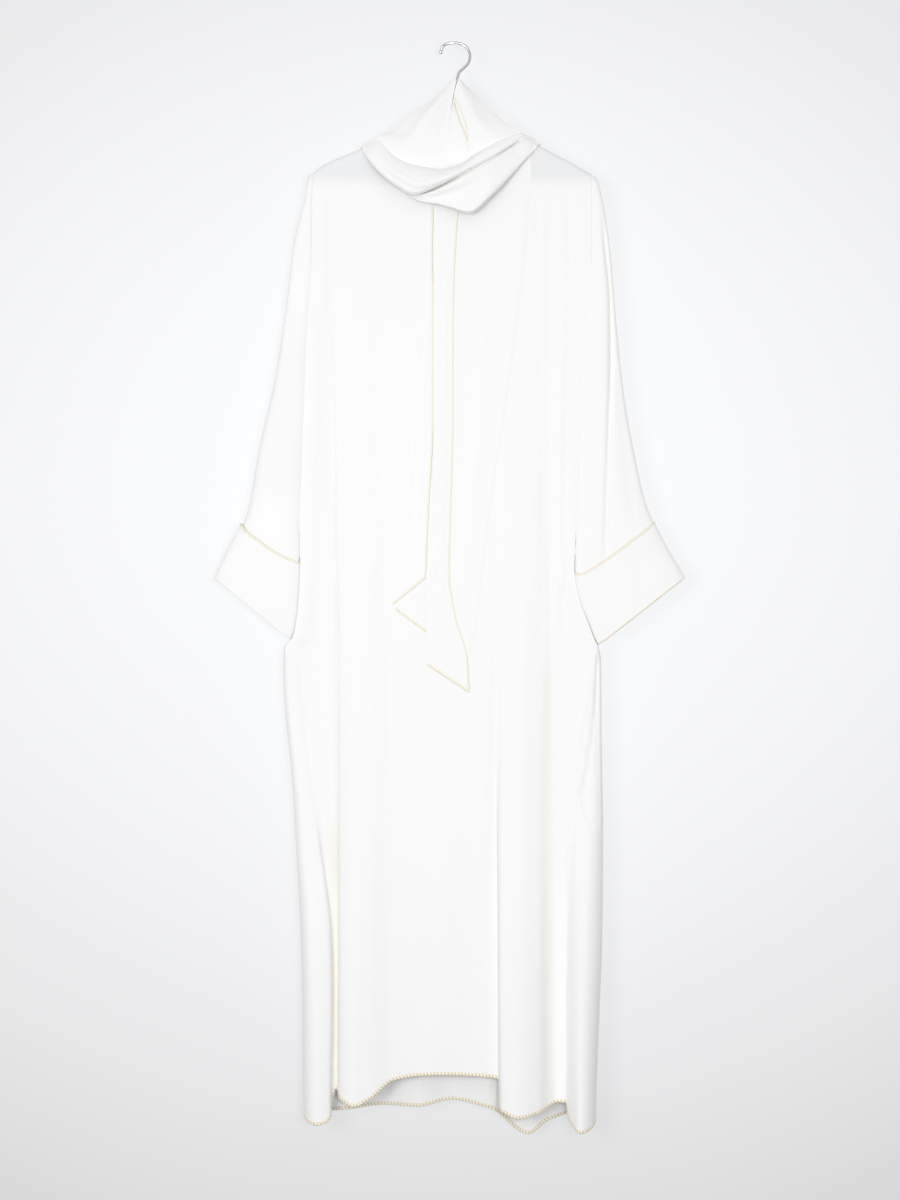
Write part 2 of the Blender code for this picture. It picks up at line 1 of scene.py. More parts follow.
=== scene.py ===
"""Abaya on a hanger: white crepe shells, serged edges and the hanger, dressed over the CAD frame.

Tables are in millimetres: across is +X, down is the distance below the hook's inside top and
forward is -Y, towards whoever looks at the front.
"""

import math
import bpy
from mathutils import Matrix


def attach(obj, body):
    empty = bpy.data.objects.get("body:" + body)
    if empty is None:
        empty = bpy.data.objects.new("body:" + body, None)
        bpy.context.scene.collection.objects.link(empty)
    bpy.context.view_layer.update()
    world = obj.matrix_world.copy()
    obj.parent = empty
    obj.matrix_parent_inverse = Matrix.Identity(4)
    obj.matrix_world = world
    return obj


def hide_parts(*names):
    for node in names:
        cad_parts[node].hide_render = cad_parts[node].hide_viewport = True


bl_info = {
    "name": "Abaya on a hanger",
    "version": (1, 0, 0),
    "blender": (4, 5, 0),
    "location": "View3D > Sidebar > Abaya",
    "description": "Builds a white pull-over abaya with a wound scarf on its hanger",
    "category": "Object",
}

from bisect import bisect_right
from collections import namedtuple
from functools import lru_cache

import bmesh
import bpy
from mathutils import Vector, noise

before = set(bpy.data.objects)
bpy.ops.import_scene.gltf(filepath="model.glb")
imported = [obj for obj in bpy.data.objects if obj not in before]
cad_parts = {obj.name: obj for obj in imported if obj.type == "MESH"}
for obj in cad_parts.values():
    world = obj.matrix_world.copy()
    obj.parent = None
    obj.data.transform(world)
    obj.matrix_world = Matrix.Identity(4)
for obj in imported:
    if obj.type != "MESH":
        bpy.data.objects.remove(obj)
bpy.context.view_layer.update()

MM = 0.001

# The cloth on the hanger's arms and at the neckline
ROLL = 7.0  # how far the cloth on the hanger arm turns forward or back
ARM_RISE = 7.8  # height of that turn, measured straight down
TURN_ROWS = 8  # rows of a panel that go round that turn
LAYER_ROOM = 1.8  # room on top of it for what lies over it
NECK_HALF, NECK_CURVE = 76.0, 60.0  # half the neckline's width, and half of its low part
NECK_WIDTH = 1.6  # above 1, the low part has a flat bottom
NECK_CLEAR = 4.0  # from this far above the cloth on the arms, the scarf has no panel under it
NECK_DROPS = {"front": 80.0, "back": 20.0}
SIDE_GAP = 0.35  # half the gap between two edges that meet at a side seam
ARMHOLE_GAP = 0.2
EDGE_FREE = 9.0  # distance from a panel's side edge at which its creases are full
SWELL_LEAST, SWELL_MORE, SWELL_LENGTH = 0.5, 0.6, 400.0  # the slow swell grows below the shoulders
PANEL_SEEDS = {"front": 1.0, "back": 3.0}
COOL_LEVEL, COOL_FADE = 214.0, 26.0  # the wall's shade comes through above this level,
COOL_ACROSS, COOL_OVER = 60.0, 30.0  # and on a panel only this far from the middle

# Sleeves and cuffs
CUFF_ROOM = 2.5  # a closed sleeve stands off the body's side by this, which leaves room for its cuff
ROOM_ROW, ROOM_ROWS = 8.0, 0.7  # row of the sleeve tables at which that starts, and over how many
CUFF_STAND = 2.1  # how far the cuff's cloth stands off the sleeve's
CUFF_PRESS = 0.8  # how much tighter the sides turn where the cuffs lie against them
PRESS_FROM, PRESS_TO, PRESS_IN, PRESS_OUT = 690.0, 905.0, 35.0, 30.0  # levels of that, and its fades
PRESS_WIDTH = 12.0  # fold lines nearer to the side edge than this are moved by it
CUFF_ROUND = 1.4  # how much further its outer side stands off,
CUFF_FLARE = {"left": 1.0, "right": -2.0}  # and how much more of that at its top edge
CUFF_ROWS = 4  # the last rows of a sleeve table, which its cuff goes round
CUFF_TURN_ROWS = 5  # rows of a cuff that roll in at its end
CUFF_TURN, CUFF_DROP = 0.92, 0.55  # share of a half turn that they make, and how deep it hangs
CUFF_WAVE, CUFF_SLANT, CUFF_EASE = 0.9, 0.5, 0.4  # how far a cuff swells, less at its roll
CUFF_SEEDS = {"left": 23.0, "right": 29.0}
SLEEVE_BULGE = 0.5  # 0.5 is a round section, less is a flatter one with tighter sides
INNER_BULGE = 0.22  # the same at the inner side, where a closed sleeve lies against the body
INNER_LAP = 2.4  # how far the front of a closed sleeve lies over the body's edge
LAP_CLOSED = 1.7  # it does so the more, the more the section is closed,
LAP_FORWARD, LAP_FADE, LAP_WIDTH = 10.0, 3.0, 14.0  # this far forward and this near to its inner side
SLEEVE_SWELL, SLEEVE_WIDEN = 1.1, 1.3  # size of a sleeve's slow swell, and how much finer it is across
SLEEVE_SEEDS = {"left": 11.0, "right": 17.0}
BEHIND_SEED = 4  # added on the back of the arm
SLEEVE_COOL = 0.2  # how much of the wall's shade comes through the left sleeve above its cuff
SLEEVE_COOL_TOP, SLEEVE_COOL_IN = 360.0, 120.0  # level at which that starts, and how fast
SLEEVE_COOL_FOOT, SLEEVE_COOL_OUT = 690.0, 60.0  # level at which it ends, and how fast
INNER_FREE, OUTER_FREE = 7.0, 10.0  # distances from a sleeve's sides at which its folds are full
OUTWARD = {"left": -1, "right": 1}

# Creases
CREASE_REACH = 2.6  # widths from its middle at which a crease has died out
CREASE_WANDER = 0.4  # share of a crease's height that varies along it
FOLD_FADE, PLEAT_FADE = 45.0, 60.0  # lengths over which a crease of a panel or sleeve starts and ends
WRINKLE_FADE = 0.3  # the same for the scarf, as a share of the wrinkle's length
FOLD_STEP = 1.5  # two fold lines count as at least this far apart

# The scarf
RISE_LIFT, BAND_LIFT, END_LIFT = 0.2, 0.9, -1.65  # added to the room between it and what it lies on
SCARF_ROUND, RISE_ROUND = 0.5, 1.4  # less is a flatter section with tighter sides
LIP, SLIT_LIP = 3.0, 1.3  # how fast the upper band rises at its upper edge, and the right rise at the slit
BAND_ROLL = 1.6  # above 1, the lower edge of a band rolls in tighter than its upper one
WRINKLE_ROOM = 45.0  # width of a stretch from which its wrinkles are full
STRETCH_SWELL, TURN_SWELL = 0.7, 0.6
RISE_PAINTED_SHADE, TURN_PAINTED_SHADE = 0.12, 0.03  # how much painted bluish shade lies on the left rise and the last turn
CREST, LOW_CREST = 0.24, 0.86  # where the last turn's two crests lie along the cloth
TUCK = 0.95  # how near to the lower edge the low crest is, from the crease, in front view
RIM_WIDTH, RIM_DROP = 5.0, 0.7  # the edges of a hanging end lie closer to what is under them
END_TROUGH, END_RIDGE, END_SHARE = -0.4, 1.0, 0.6  # limits of its creases, and how much of them it shows

# Serging
FINE = 400  # steps along an edge that is sewn
HEM_PITCH = 5.0  # distance from stitch to stitch at the hems
STITCH_SIDES, STITCH_STEPS = 10, 5  # faces round the thread, and steps from stitch to stitch
STITCH_SLANT, STITCH_FORM = 0.2, 1.3  # how slanted a stitch is, and how narrow its ridge
THREAD_LIFT, STITCH_RISE = 0.22, 0.30  # how far the thread stands off the cloth, and its stitches more
THREAD_FLAT = 0.55  # less is a flatter thread
THREAD_OVER = 0.5  # how far it reaches past the edge
THREAD_END, THREAD_GROW = 0.35, 3  # its width at its ends, and how fast it reaches its full width
THREAD_WOBBLE = 0.12  # how much its width varies
THREAD_SHADE = 0.7  # how dark the painted shade on its two sides is
NARROW, NARROW_SHADE = 4.0, 0.4  # narrower serging is shaded less
SEAM_THREAD, CUFF_END_THREAD = 1.4, 3.0
SLIT_SHARE, SLIT_FOLD_SHARE, END_SIDE_SHARE = 0.6, 0.5, 0.75  # widths as shares of the edge stitches

# Levels of the fold tables, as distances below the hook
SHOULDER, ELBOW, WAIST, THIGH, KNEE, HEM = 200.0, 640.0, 905.0, 1150.0, 1300.0, 1560.0
FOLD_LEVELS = (SHOULDER, ELBOW, WAIST, THIGH, KNEE, HEM)

# The cloth's middle where it lies over the hanger's arms: across and down
SHOULDER_LINE = (
    (-209.0, 190.5), (-189.0, 176.0), (-152.0, 160.0), (-74.0, 127.5), (0.0, 97.0),
    (74.0, 125.0), (126.0, 151.0), (152.0, 164.5), (176.0, 177.5), (199.0, 191.0),
)
# Side edges of the body: armhole seams down to the underarm, side seams below it
LEFT_EDGE = (
    (188, -206.5), (240, -208.5), (320, -209.0), (432, -216.0), (543, -220.0), (691, -225.5), (766, -226.5),
    (812, -228.5), (850, -233.0), (868, -238.0), (881, -249.0), (912, -250.5), (963, -248.5),
    (1069, -238.0), (1166, -232.0), (1287, -225.5), (1403, -222.5), (1518, -222.0), (1570, -220.0),
)
RIGHT_EDGE = (
    (190, 199.0), (323, 198.0), (395, 193.0), (543, 182.5), (691, 177.0), (766, 174.5),
    (812, 182.0), (844, 194.5), (867, 203.0), (880, 209.0), (900, 213.0), (1033, 214.0),
    (1147, 216.0), (1287, 215.0), (1426, 210.0), (1518, 206.5), (1574, 205.0),
)
# How far the front and back edges of an armhole stand apart from the middle
ARMHOLE_DEPTH = (
    (200, 7.0), (320, 9.0), (640, 13.0), (700, 12.0), (740, 7.0), (766, SIDE_GAP), (1600, SIDE_GAP),
)

# A row for each fold. side says what across is measured from, at the six levels;
# depth is how far the cloth stands out, and hem how far down it ends.
Fold = namedtuple("Fold", "name side across depth hem")
FRONT_FOLDS = (
    Fold("left side lobe", "left", (5, 7, 9, 14, 20, 22), (7, 13, 13, 17, 29, 35), 1570),
    Fold("left lobe crest", "left", (11, 18, 15, 28, 40, 36), (7, 12.5, 12.4, 16.2, 27, 31), 1566),
    Fold("left lobe edge", "left", (13, 22, 22, 33.8, 45, 41), (7, 11.6, 11.2, 15, 22.5, 27), 1560),
    Fold("left lobe inner", "left", (15, 25, 28, 34.8, 45.8, 41.8), (7, 11, 10, 13.8, 14.5, 15.5), 1545),
    Fold("left valley", "middle", (-187, -178, -173, -173, -173, -173.5), (7, 8, 9, 10.5, 11.6, 12.4), 1521),
    Fold("mid left tuck", "middle", (-185, -176, -170, -170, -170, -170.5), (7, 8.4, 10, 12, 12.6, 13), 1524),
    Fold("mid left rise", "middle", (-182, -172, -167, -167.5, -168, -168.5),
         (7, 10, 12.6, 17, 20, 23), 1534),
    Fold("mid left crest", "middle", (-164, -154, -150, -146, -146, -147), (7, 13, 17, 23, 28, 36), 1543),
    Fold("mid left turn", "middle", (-130, -124, -122, -123, -124, -125), (7, 12, 16, 21, 25.5, 32.5), 1534),
    Fold("mid left edge", "middle", (-112, -104, -98, -91, -90, -90), (7, 9.6, 12.2, 15.6, 17.6, 20.5), 1509),
    Fold("centre left side", "middle", (-62, -60, -58, -57, -56, -54), (7, 9.5, 12, 14.2, 15.4, 17), 1503),
    Fold("centre left", "middle", (-20, -20, -20, -20, -20, -20), (7, 10, 13, 16, 17.6, 20), 1501),
    Fold("centre right", "middle", (46, 46, 46, 40, 36, 36), (7, 10, 12.6, 16, 17.6, 19.6), 1503),
    Fold("centre right end", "middle", (58, 58, 58, 62, 65, 66), (7, 10, 12, 12.5, 12.5, 13.5), 1509),
    Fold("mid right edge", "middle", (70, 70, 66, 61.5, 62.4, 63.4), (7, 11, 13.5, 15.5, 20, 24), 1545),
    Fold("mid right rise", "middle", (80, 80, 76, 67, 65, 66), (7, 11.6, 15.4, 23, 31, 39), 1549),
    Fold("mid right crest", "middle", (100, 100, 98, 92, 90, 90), (7, 12, 17, 26, 35, 46), 1558),
    Fold("mid right end", "middle", (122, 122, 122, 121, 120.5, 121), (7, 10.6, 14, 20.5, 27.5, 35), 1553),
    Fold("mid right foot", "middle", (130, 130, 132, 133, 134, 136), (7, 9, 12, 15, 17, 19), 1547),
    Fold("right valley", "middle", (138, 138, 140, 144, 146, 148), (7, 8, 10, 12.5, 12, 12), 1542),
    Fold("recess end", "middle", (151, 147, 154, 160.5, 162, 161.3), (7, 9, 10.4, 12.8, 12.8, 14), 1542),
    Fold("right lobe inner", "middle", (165, 151.5, 162, 167, 165.6, 163.3),
         (7, 11, 10.8, 16.5, 20, 21), 1563),
    Fold("right lobe crest", "right", (14, 15, 26, 38.5, 42, 35), (7, 12, 12.5, 23.5, 31, 36), 1572),
    Fold("right side lobe", "right", (5, 7, 10, 22, 30, 26), (7, 13, 13, 28, 39, 48), 1579),
)
BACK_FOLDS = (
    Fold("left side lobe", "left", (5, 7, 12, 20, 24, 28), (7, 13, 10, 15.5, 20, 24), 1563),
    Fold("left valley", "middle", (-186, -176, -176, -172, -168, -160), (7, 9, 10, 10.5, 11, 12), 1558),
    Fold("left crest", "middle", (-130, -124, -120, -115, -112, -108), (7, 13, 18, 22, 24, 28), 1555),
    Fold("centre left valley", "middle", (-60, -58, -56, -55, -54, -52), (7, 9, 10, 11.5, 12, 13), 1554),
    Fold("centre crest", "middle", (-10, -8, -8, -7, -6, -5), (7, 12, 17, 21, 23, 26), 1547),
    Fold("centre right valley", "middle", (42, 44, 46, 47, 48, 50), (7, 9, 11, 12, 12, 12), 1556),
    Fold("right crest", "middle", (100, 102, 104, 105, 106, 108), (7, 13, 17, 20.5, 22, 24), 1597),
    Fold("right valley", "middle", (134, 138, 140, 140, 140, 140), (7, 9, 10, 10.5, 11, 13), 1573),
    Fold("right side lobe", "right", (5, 7, 12, 23.5, 28, 28), (7, 13, 12, 19, 24, 28), 1566),
)
SIDE_HEMS = (1563.0, 1567.0)

# A row for each crease of a panel. path is (down, across) pairs. A height above 0 is a ridge and
# below 0 a trough; the fourth column says how much painted ivory shade lies in it.
Crease = namedtuple("Crease", "name width height warm path")
FRONT_CREASES = (
    Crease("left valley line", 3.0, -1.5, 0.2,
           ((200, -184), (358, -182.5), (468, -180.5), (562, -176.5), (691, -175.5), (880, -174))),
    Crease("left valley floor", 4.0, -0.2, 0.4,
           ((760, -172.5), (960, -173), (1103, -174), (1325, -174.4), (1565, -174.8))),
    Crease("left valley shade", 5.5, -0.2, 1.0, ((1120, -173.6), (1300, -173.6), (1565, -174))),
    Crease("left second line", 8.0, -0.8, 0.0, ((230, -163), (420, -160), (640, -158), (860, -157))),
    Crease("mid left swell", 20.0, 0.8, 0.0, ((930, -146), (1200, -142), (1500, -140))),
    Crease("centre long swell", 34.0, 0.9, 0.0, ((930, -30), (1200, -28), (1500, -22))),
    Crease("centre right line", 5.0, -0.9, 0.0, ((860, 61), (1000, 61), (1150, 61))),
    Crease("right bodice line", 6.0, -0.9, 0.0, ((220, 120), (430, 124), (700, 126), (900, 126))),
    Crease("right valley line", 5.0, -0.7, 0.1, ((230, 134), (303, 135), (600, 136), (870, 136))),
    Crease("right valley floor", 7.0, -0.2, 0.6, ((900, 133), (1100, 134), (1300, 135), (1560, 136))),
    Crease("right second line", 3.5, -1.2, 0.0, ((210, 168), (420, 165), (640, 160), (880, 158))),
    Crease("right second ridge", 6.0, 0.9, 0.0, ((210, 153), (420, 151), (640, 149), (880, 149))),
    Crease("right light line", 2.6, 0.9, 0.0,
           ((897, 200), (1056, 176), (1166, 165), (1333, 160), (1407, 163), (1471, 159), (1564, 159))),
    Crease("right dark line", 2.2, -0.8, 0.0,
           ((910, 205), (1056, 181), (1166, 170), (1333, 166), (1407, 169), (1471, 165), (1550, 166))),
    Crease("left lobe swell", 12.0, 1.2, 0.0, ((1060, -222), (1240, -208), (1400, -198), (1560, -196))),
    Crease("under left cuff", 9.0, -0.5, 0.0, ((800, -205), (860, -212), (960, -220), (1060, -214))),
    Crease("under right cuff", 8.0, -0.6, 0.0, ((780, 160), (860, 176), (940, 184), (1020, 176))),
    Crease("shoulder left drape", 14.0, -0.7, 0.0, ((185, -150), (300, -135), (520, -128), (760, -126))),
    Crease("shoulder right drape", 12.0, -0.7, 0.0, ((185, 150), (300, 146), (520, 142))),
)
BACK_CREASES = (
    Crease("left valley line", 4.0, -1.8, 0.3,
           ((215, -185), (468, -182), (870, -174), (1300, -168), (1558, -160))),
    Crease("left crest line", 6.0, 1.0, 0.0, ((250, -150), (640, -146), (1100, -140), (1550, -136))),
    Crease("left inner line", 5.0, -1.4, 0.0, ((240, -100), (640, -96), (1100, -88), (1550, -80))),
    Crease("centre left line", 4.0, -1.6, 0.2, ((300, -60), (700, -58), (1200, -55), (1554, -52))),
    Crease("centre ridge", 9.0, 1.2, 0.0, ((260, -10), (700, -8), (1200, -6), (1547, -5))),
    Crease("centre right line", 4.0, -1.6, 0.2, ((300, 43), (700, 45), (1200, 48), (1556, 50))),
    Crease("right ridge", 8.0, 1.2, 0.0, ((230, 84), (640, 86), (1100, 90), (1580, 94))),
    Crease("right valley line", 4.0, -1.8, 0.3, ((220, 134), (640, 138), (1100, 140), (1573, 140))),
    Crease("right outer ridge", 5.0, 1.2, 0.0, ((260, 168), (640, 160), (1000, 172), (1560, 176))),
    Crease("neck drape left", 16.0, -1.6, 0.0, ((190, -40), (300, -70), (460, -92))),
    Crease("neck drape right", 16.0, -1.6, 0.0, ((190, 38), (300, 66), (460, 86))),
    Crease("seat shade left", 12.0, -1.8, 0.0, ((900, -112), (1040, -118), (1200, -122))),
    Crease("seat shade right", 12.0, -1.8, 0.0, ((900, 110), (1040, 116), (1200, 120))),
)
# A row for each place where one fold laps over the next. The cloth beyond the path drops within
# width and comes back up within reach.
Lap = namedtuple("Lap", "name width reach drop path")
FRONT_LAPS = (
    Lap("right flap", 2.0, 60.0, 4.0,
        ((868, 205), (905, 204), (953, 202), (1056, 188), (1095, 181.5), (1124, 187), (1162, 201))),
    Lap("left lobe lap", 1.6, 12.0, 1.0,
        ((890, -232), (1041, -215), (1138, -202), (1216, -190.5), (1275, -182))),
)
BACK_LAPS = (
    Lap("left of the middle", 2.0, 40.0, 2.2, ((700, -112), (1000, -108), (1300, -100), (1555, -96))),
)

# A row for each section of a sleeve: where its armhole edge and its outer fold lie,
# its depth in front and behind, and how far the section is closed at the inner side
Section = namedtuple("Section", "inner_down outer outer_down front back closed")
SLEEVE_EDGES = {
    "left": (
        (190.5, -211.5, 190.5), (196.5, -214.0, 196), (230, -219.0, 227), (300, -234.5, 290),
        (400, -245.5, 378), (520, -262.0, 488), (640, -287.0, 600), (700, -297.0, 660),
        (740, -304.0, 690), (766, -309.5, 704), (812, -325.0, 733), (850, -339.0, 761),
        (868, -347.0, 780),
    ),
    "right": (
        (193, 204.5, 195), (198.8, 208.5, 202), (230, 216.0, 234), (300, 226.0, 300),
        (400, 234.0, 396), (520, 246.5, 514), (640, 265.0, 616), (700, 275.0, 660), (740, 283.0, 684),
        (766, 290.5, 701), (812, 305.0, 731), (850, 320.0, 757), (876, 332.0, 779),
    ),
}
SLEEVE_DEPTHS = (
    (5.0, 5.0, 0.0), (7.2, 7.2, 0.0), (9.0, 8.6, 0.0), (11.0, 10.0, 0.0), (13.5, 12.0, 0.0),
    (16.5, 14.0, 0.0), (18.5, 15.5, 0.0), (19.5, 16.0, 0.0), (20.0, 16.0, 0.6), (20.0, 16.0, 1.0),
    (19.0, 15.5, 1.0), (18.0, 15.0, 1.0), (17.0, 14.0, 1.0),
)
SLEEVES = {
    side: [Section(*edge, *depth) for edge, depth in zip(edges, SLEEVE_DEPTHS)]
    for side, edges in SLEEVE_EDGES.items()
}
# How much lower than a straight line each cuff's top edge runs, over the share from its inner
# to its outer corner
CUFF_TOPS = {
    "left": ((0, -8), (0.12, -6), (0.32, -1), (0.58, 2), (0.88, 2), (1, -8)),
    "right": ((0, 6), (0.1, 9), (0.36, 8), (0.5, 7), (0.67, 4), (0.85, 1), (1, -5)),
}
LANE_FALL = 30.0  # about how much lower each row of the sleeve tables is at the cuffs

# A row for each crease down a sleeve: path is (down, across), all in millimetres.
# behind is True on the back of the arm.
Pleat = namedtuple("Pleat", "name behind width height warm path")
PLEATS = {
    "left": (
        Pleat("front fold", False, 9.0, -1.0, 0.0, ((290, -226), (500, -246), (740, -272))),
        Pleat("elbow pull", False, 10.0, -0.8, 0.0, ((500, -262), (640, -268), (720, -248))),
        Pleat("back fold", True, 7.0, -1.8, 0.0, ((260, -222), (500, -242), (780, -276))),
        Pleat("back ridge", True, 7.0, 1.0, 0.0, ((330, -232), (560, -258), (740, -288))),
    ),
    "right": (
        Pleat("deep fold", False, 3.6, -5.0, 0.25, ((240, 214), (300, 220), (380, 227), (469, 227),
                                                     (562, 224), (655, 221), (772, 217.5))),
        Pleat("outer fall", False, 9.0, -1.4, 0.0, ((400, 233), (520, 241), (640, 252), (720, 262))),
        Pleat("back fold", True, 7.0, -2.0, 0.0, ((260, 212), (500, 222), (780, 238))),
        Pleat("back ridge", True, 7.0, 1.0, 0.0, ((330, 220), (560, 236), (740, 256))),
    ),
}

# A row for each station along a stretch of the scarf: one edge, the other edge, and
# how far the cloth between them rounds out
Station = namedtuple("Station", "across down forward to_across to_down to_forward bulge")
SCARF_STRETCHES = {
    "scarf_rise_left": (
        (2.4, 54, 6, -10, 56, 0, 2), (-2.8, 80, 13, -35, 80, 1, 4), (-7.0, 108, 18.4, -69, 102, 1, 7),
        (-9.0, 135, 21.4, -96, 126, 1, 9), (-10.0, 160, 20.7, -114, 136, 4, 9),
        (-10.0, 180, 18.4, -118, 154, 7, 8), (-10.0, 198, 16.4, -104, 180, 10, 5),
    ),
    "scarf_rise_right": (
        (4.4, 53, 6, 9, 53, 0, 2), (-1.6, 79, 13.4, 34, 79, 4, 3), (3.5, 106, 19.4, 57, 103, 6, 3.5),
        (11.0, 127, 22.4, 74, 116, 7, 3.5), (18.0, 147, 22.8, 92, 127, 7, 3),
        (21.0, 165, 20.5, 98, 142, 8, 3), (22.0, 182, 17, 90, 162, 9, 3),
    ),
    "scarf_rise_under": (
        (-6.0, 78, 10.0, 6, 78, 10.0, 0), (-14.0, 110, 17.4, 18, 110, 17.4, 0),
        (-18.0, 138, 20.9, 28, 138, 20.5, 0), (-20.0, 160, 20.2, 30, 160, 19.6, 0),
        (-20.0, 192, 16, 32, 192, 16, 0),
    ),
    "scarf_rise_back": (
        (10.5, 54, -3, -11.0, 58, -3, -6), (34, 80, 2.6, -35, 82, -1.5, -9),
        (58, 103, 4.6, -70, 107, -1, -12), (76, 113, 5.6, -94, 123, -1, -12),
        (82, 126, 4.0, -98, 136, -1, -12),
    ),
    "scarf_band_upper": (
        (-112, 134, 0.6, -138, 150, 0.6, 1), (-105, 146, 7, -130, 166, 11, 6),
        (-92, 163, 13.5, -112, 190, 18, 10), (-70, 177, 18, -85, 213, 24, 13),
        (-44, 184, 21, -60, 226, 27, 15), (-20, 188, 22, -36, 219, 29, 15),
        (8, 181, 22.5, -4, 204, 30, 12), (31, 165, 22, 29, 186.5, 28, 10),
        (53, 151, 19, 58, 169, 23, 8), (75, 139, 12.5, 81, 152, 15, 5), (95, 132, 7, 98, 139, 8, 3),
        (105, 133, 0.6, 109, 136, 0.6, 1),
    ),
    "scarf_band_back": (
        (-112, 134, -0.6, -138, 150, -0.6, -1), (-108, 133, -9, -133, 160, -9.5, -2),
        (-98, 134, -18, -119, 172, -13, -5), (-62, 130, -27, -72, 182, -20, -6),
        (-2, 126, -30, -2, 186, -24, -6), (60, 128, -27, 68, 180, -21, -6),
        (96, 132, -17, 108, 166, -12, -4), (105, 132.5, -9, 120, 155, -9.5, -2),
        (108, 134, -0.6, 126, 145, -0.6, -1),
    ),
}

# A row for each station along the last turn of the scarf: its upper edge, the crease on it and its
# lower edge, each across and down, then how far out it stands at the upper edge, on the crest above
# the crease, in the crease, on the crest below it and at the lower edge
Turn = namedtuple("Turn", "across down crease_across crease_down to_across to_down "
                          "edge crest crease low_crest foot")
LAST_TURN = (
    (-84, 205, -83, 209.5, -82, 214.5, 14.0, 15.5, 16.0, 16.5, 14.5),
    (-55, 222, -53, 227, -51, 233, 18.0, 20.0, 19.5, 20.0, 17.5),
    (-36, 217, -32, 229, -27, 238, 20.0, 28.0, 23.5, 27.0, 20.5),
    (-11, 205, -8, 226, -4, 245, 23.0, 35.0, 28.5, 32.5, 23.0),
    (15, 190, 19, 217, 21, 252, 24.5, 37.5, 34.0, 34.5, 23.5),
    (37, 178, 44, 204, 53, 226, 23.0, 35.5, 34.5, 31.0, 21.5),
    (60, 164, 69, 184, 79, 198.5, 17.0, 28.5, 27.5, 24.0, 16.5),
    (80.5, 151, 90, 165, 98, 176.5, 11.0, 20.0, 19.5, 17.0, 12.0),
    (99, 139, 107, 149, 113, 160, 6.0, 12.0, 12.5, 11.5, 9.5),
    (109, 135, 117, 140, 126, 145, 0.6, 1.6, 1.6, 1.6, 0.6),
)

# A row for each wrinkle of a stretch: path is (station, share of the way from its first edge)
Wrinkle = namedtuple("Wrinkle", "width height warm path")
SCARF_WRINKLES = {
    "scarf_rise_left": (
        Wrinkle(4.0, 1.1, 0.0, ((0.2, 0.22), (1.5, 0.20), (3.0, 0.22), (4.6, 0.30))),
        Wrinkle(5.0, -1.3, 0.0, ((0.3, 0.42), (1.6, 0.40), (3.0, 0.42), (4.4, 0.46))),
        Wrinkle(4.5, 1, 0.0, ((0.5, 0.60), (1.8, 0.56), (3.2, 0.56), (4.4, 0.60))),
        Wrinkle(6.0, -1.1, 0.0, ((0.8, 0.80), (2.0, 0.74), (3.2, 0.72), (4.2, 0.74))),
        Wrinkle(2.5, -0.8, 0.0, ((0.1, 0.10), (1.4, 0.08), (2.6, 0.09))),
        Wrinkle(5.0, 0.8, 0.0, ((2.2, 0.90), (3.0, 0.86), (4.0, 0.88))),
    ),
    "scarf_rise_right": (
        Wrinkle(2.0, -0.8, 0.0, ((0.2, 0.30), (1.2, 0.26), (2.4, 0.16), (3.2, 0.10))),
        Wrinkle(5.0, 0.6, 0.0, ((0.4, 0.50), (1.6, 0.46), (3.0, 0.42), (4.4, 0.44))),
        Wrinkle(6.0, -0.6, 0.0, ((0.8, 0.72), (2.0, 0.68), (3.4, 0.64), (4.4, 0.66))),
        Wrinkle(4.0, 0.7, 0.0, ((1.6, 0.90), (2.6, 0.86), (3.8, 0.84))),
    ),
    "scarf_rise_back": (
        Wrinkle(5.0, 2.2, 0.0, ((0.2, 0.25), (1.5, 0.28), (2.9, 0.26))),
        Wrinkle(5.0, -2.0, 0.0, ((0.2, 0.45), (1.5, 0.46), (2.9, 0.44))),
        Wrinkle(6.0, 2.0, 0.0, ((0.2, 0.65), (1.5, 0.64), (2.9, 0.62))),
        Wrinkle(5.0, -1.6, 0.0, ((0.6, 0.82), (1.5, 0.80), (2.9, 0.80))),
    ),
    "scarf_band_upper": (
        Wrinkle(4.0, -2.2, 0.1, ((1.6, 0.62), (3.0, 0.66), (4.4, 0.74), (5.6, 0.86))),
        Wrinkle(3.5, 1.4, 0.0, ((1.4, 0.42), (2.8, 0.44), (4.2, 0.52), (6.0, 0.66))),
        Wrinkle(3.5, -1.8, 0.15, ((5.0, 0.30), (6.4, 0.40), (7.8, 0.50), (9.4, 0.60))),
        Wrinkle(3.0, 1.2, 0.0, ((5.6, 0.56), (7.0, 0.66), (8.6, 0.76), (9.6, 0.80))),
        Wrinkle(2.0, -1.0, 0.2, ((7.0, 0.16), (8.2, 0.24), (9.6, 0.36))),
    ),
    "last_turn": (
        Wrinkle(3.0, -0.9, 0.0, ((5.4, 0.30), (6.6, 0.36), (8.4, 0.46))),
        Wrinkle(4.0, 0.8, 0.0, ((3.6, 0.80), (5, 0.74), (7, 0.72))),
        Wrinkle(2.0, -0.7, 0.0, ((1.4, 0.30), (2.4, 0.24), (3.8, 0.20))),
        Wrinkle(3.0, -0.3, 0.7, ((1.8, 0.06), (3.2, 0.10), (4.8, 0.12))),
    ),
    "scarf_band_back": (
        Wrinkle(4.0, 1.8, 0.0, ((0.8, 0.30), (3.0, 0.26), (5.0, 0.30), (7.4, 0.34))),
        Wrinkle(4.0, -1.8, 0.1, ((0.8, 0.52), (3.0, 0.50), (5.0, 0.50), (7.4, 0.54))),
        Wrinkle(4.0, 1.4, 0.0, ((1.0, 0.76), (3.0, 0.74), (5.0, 0.76), (7.0, 0.72))),
    ),
}

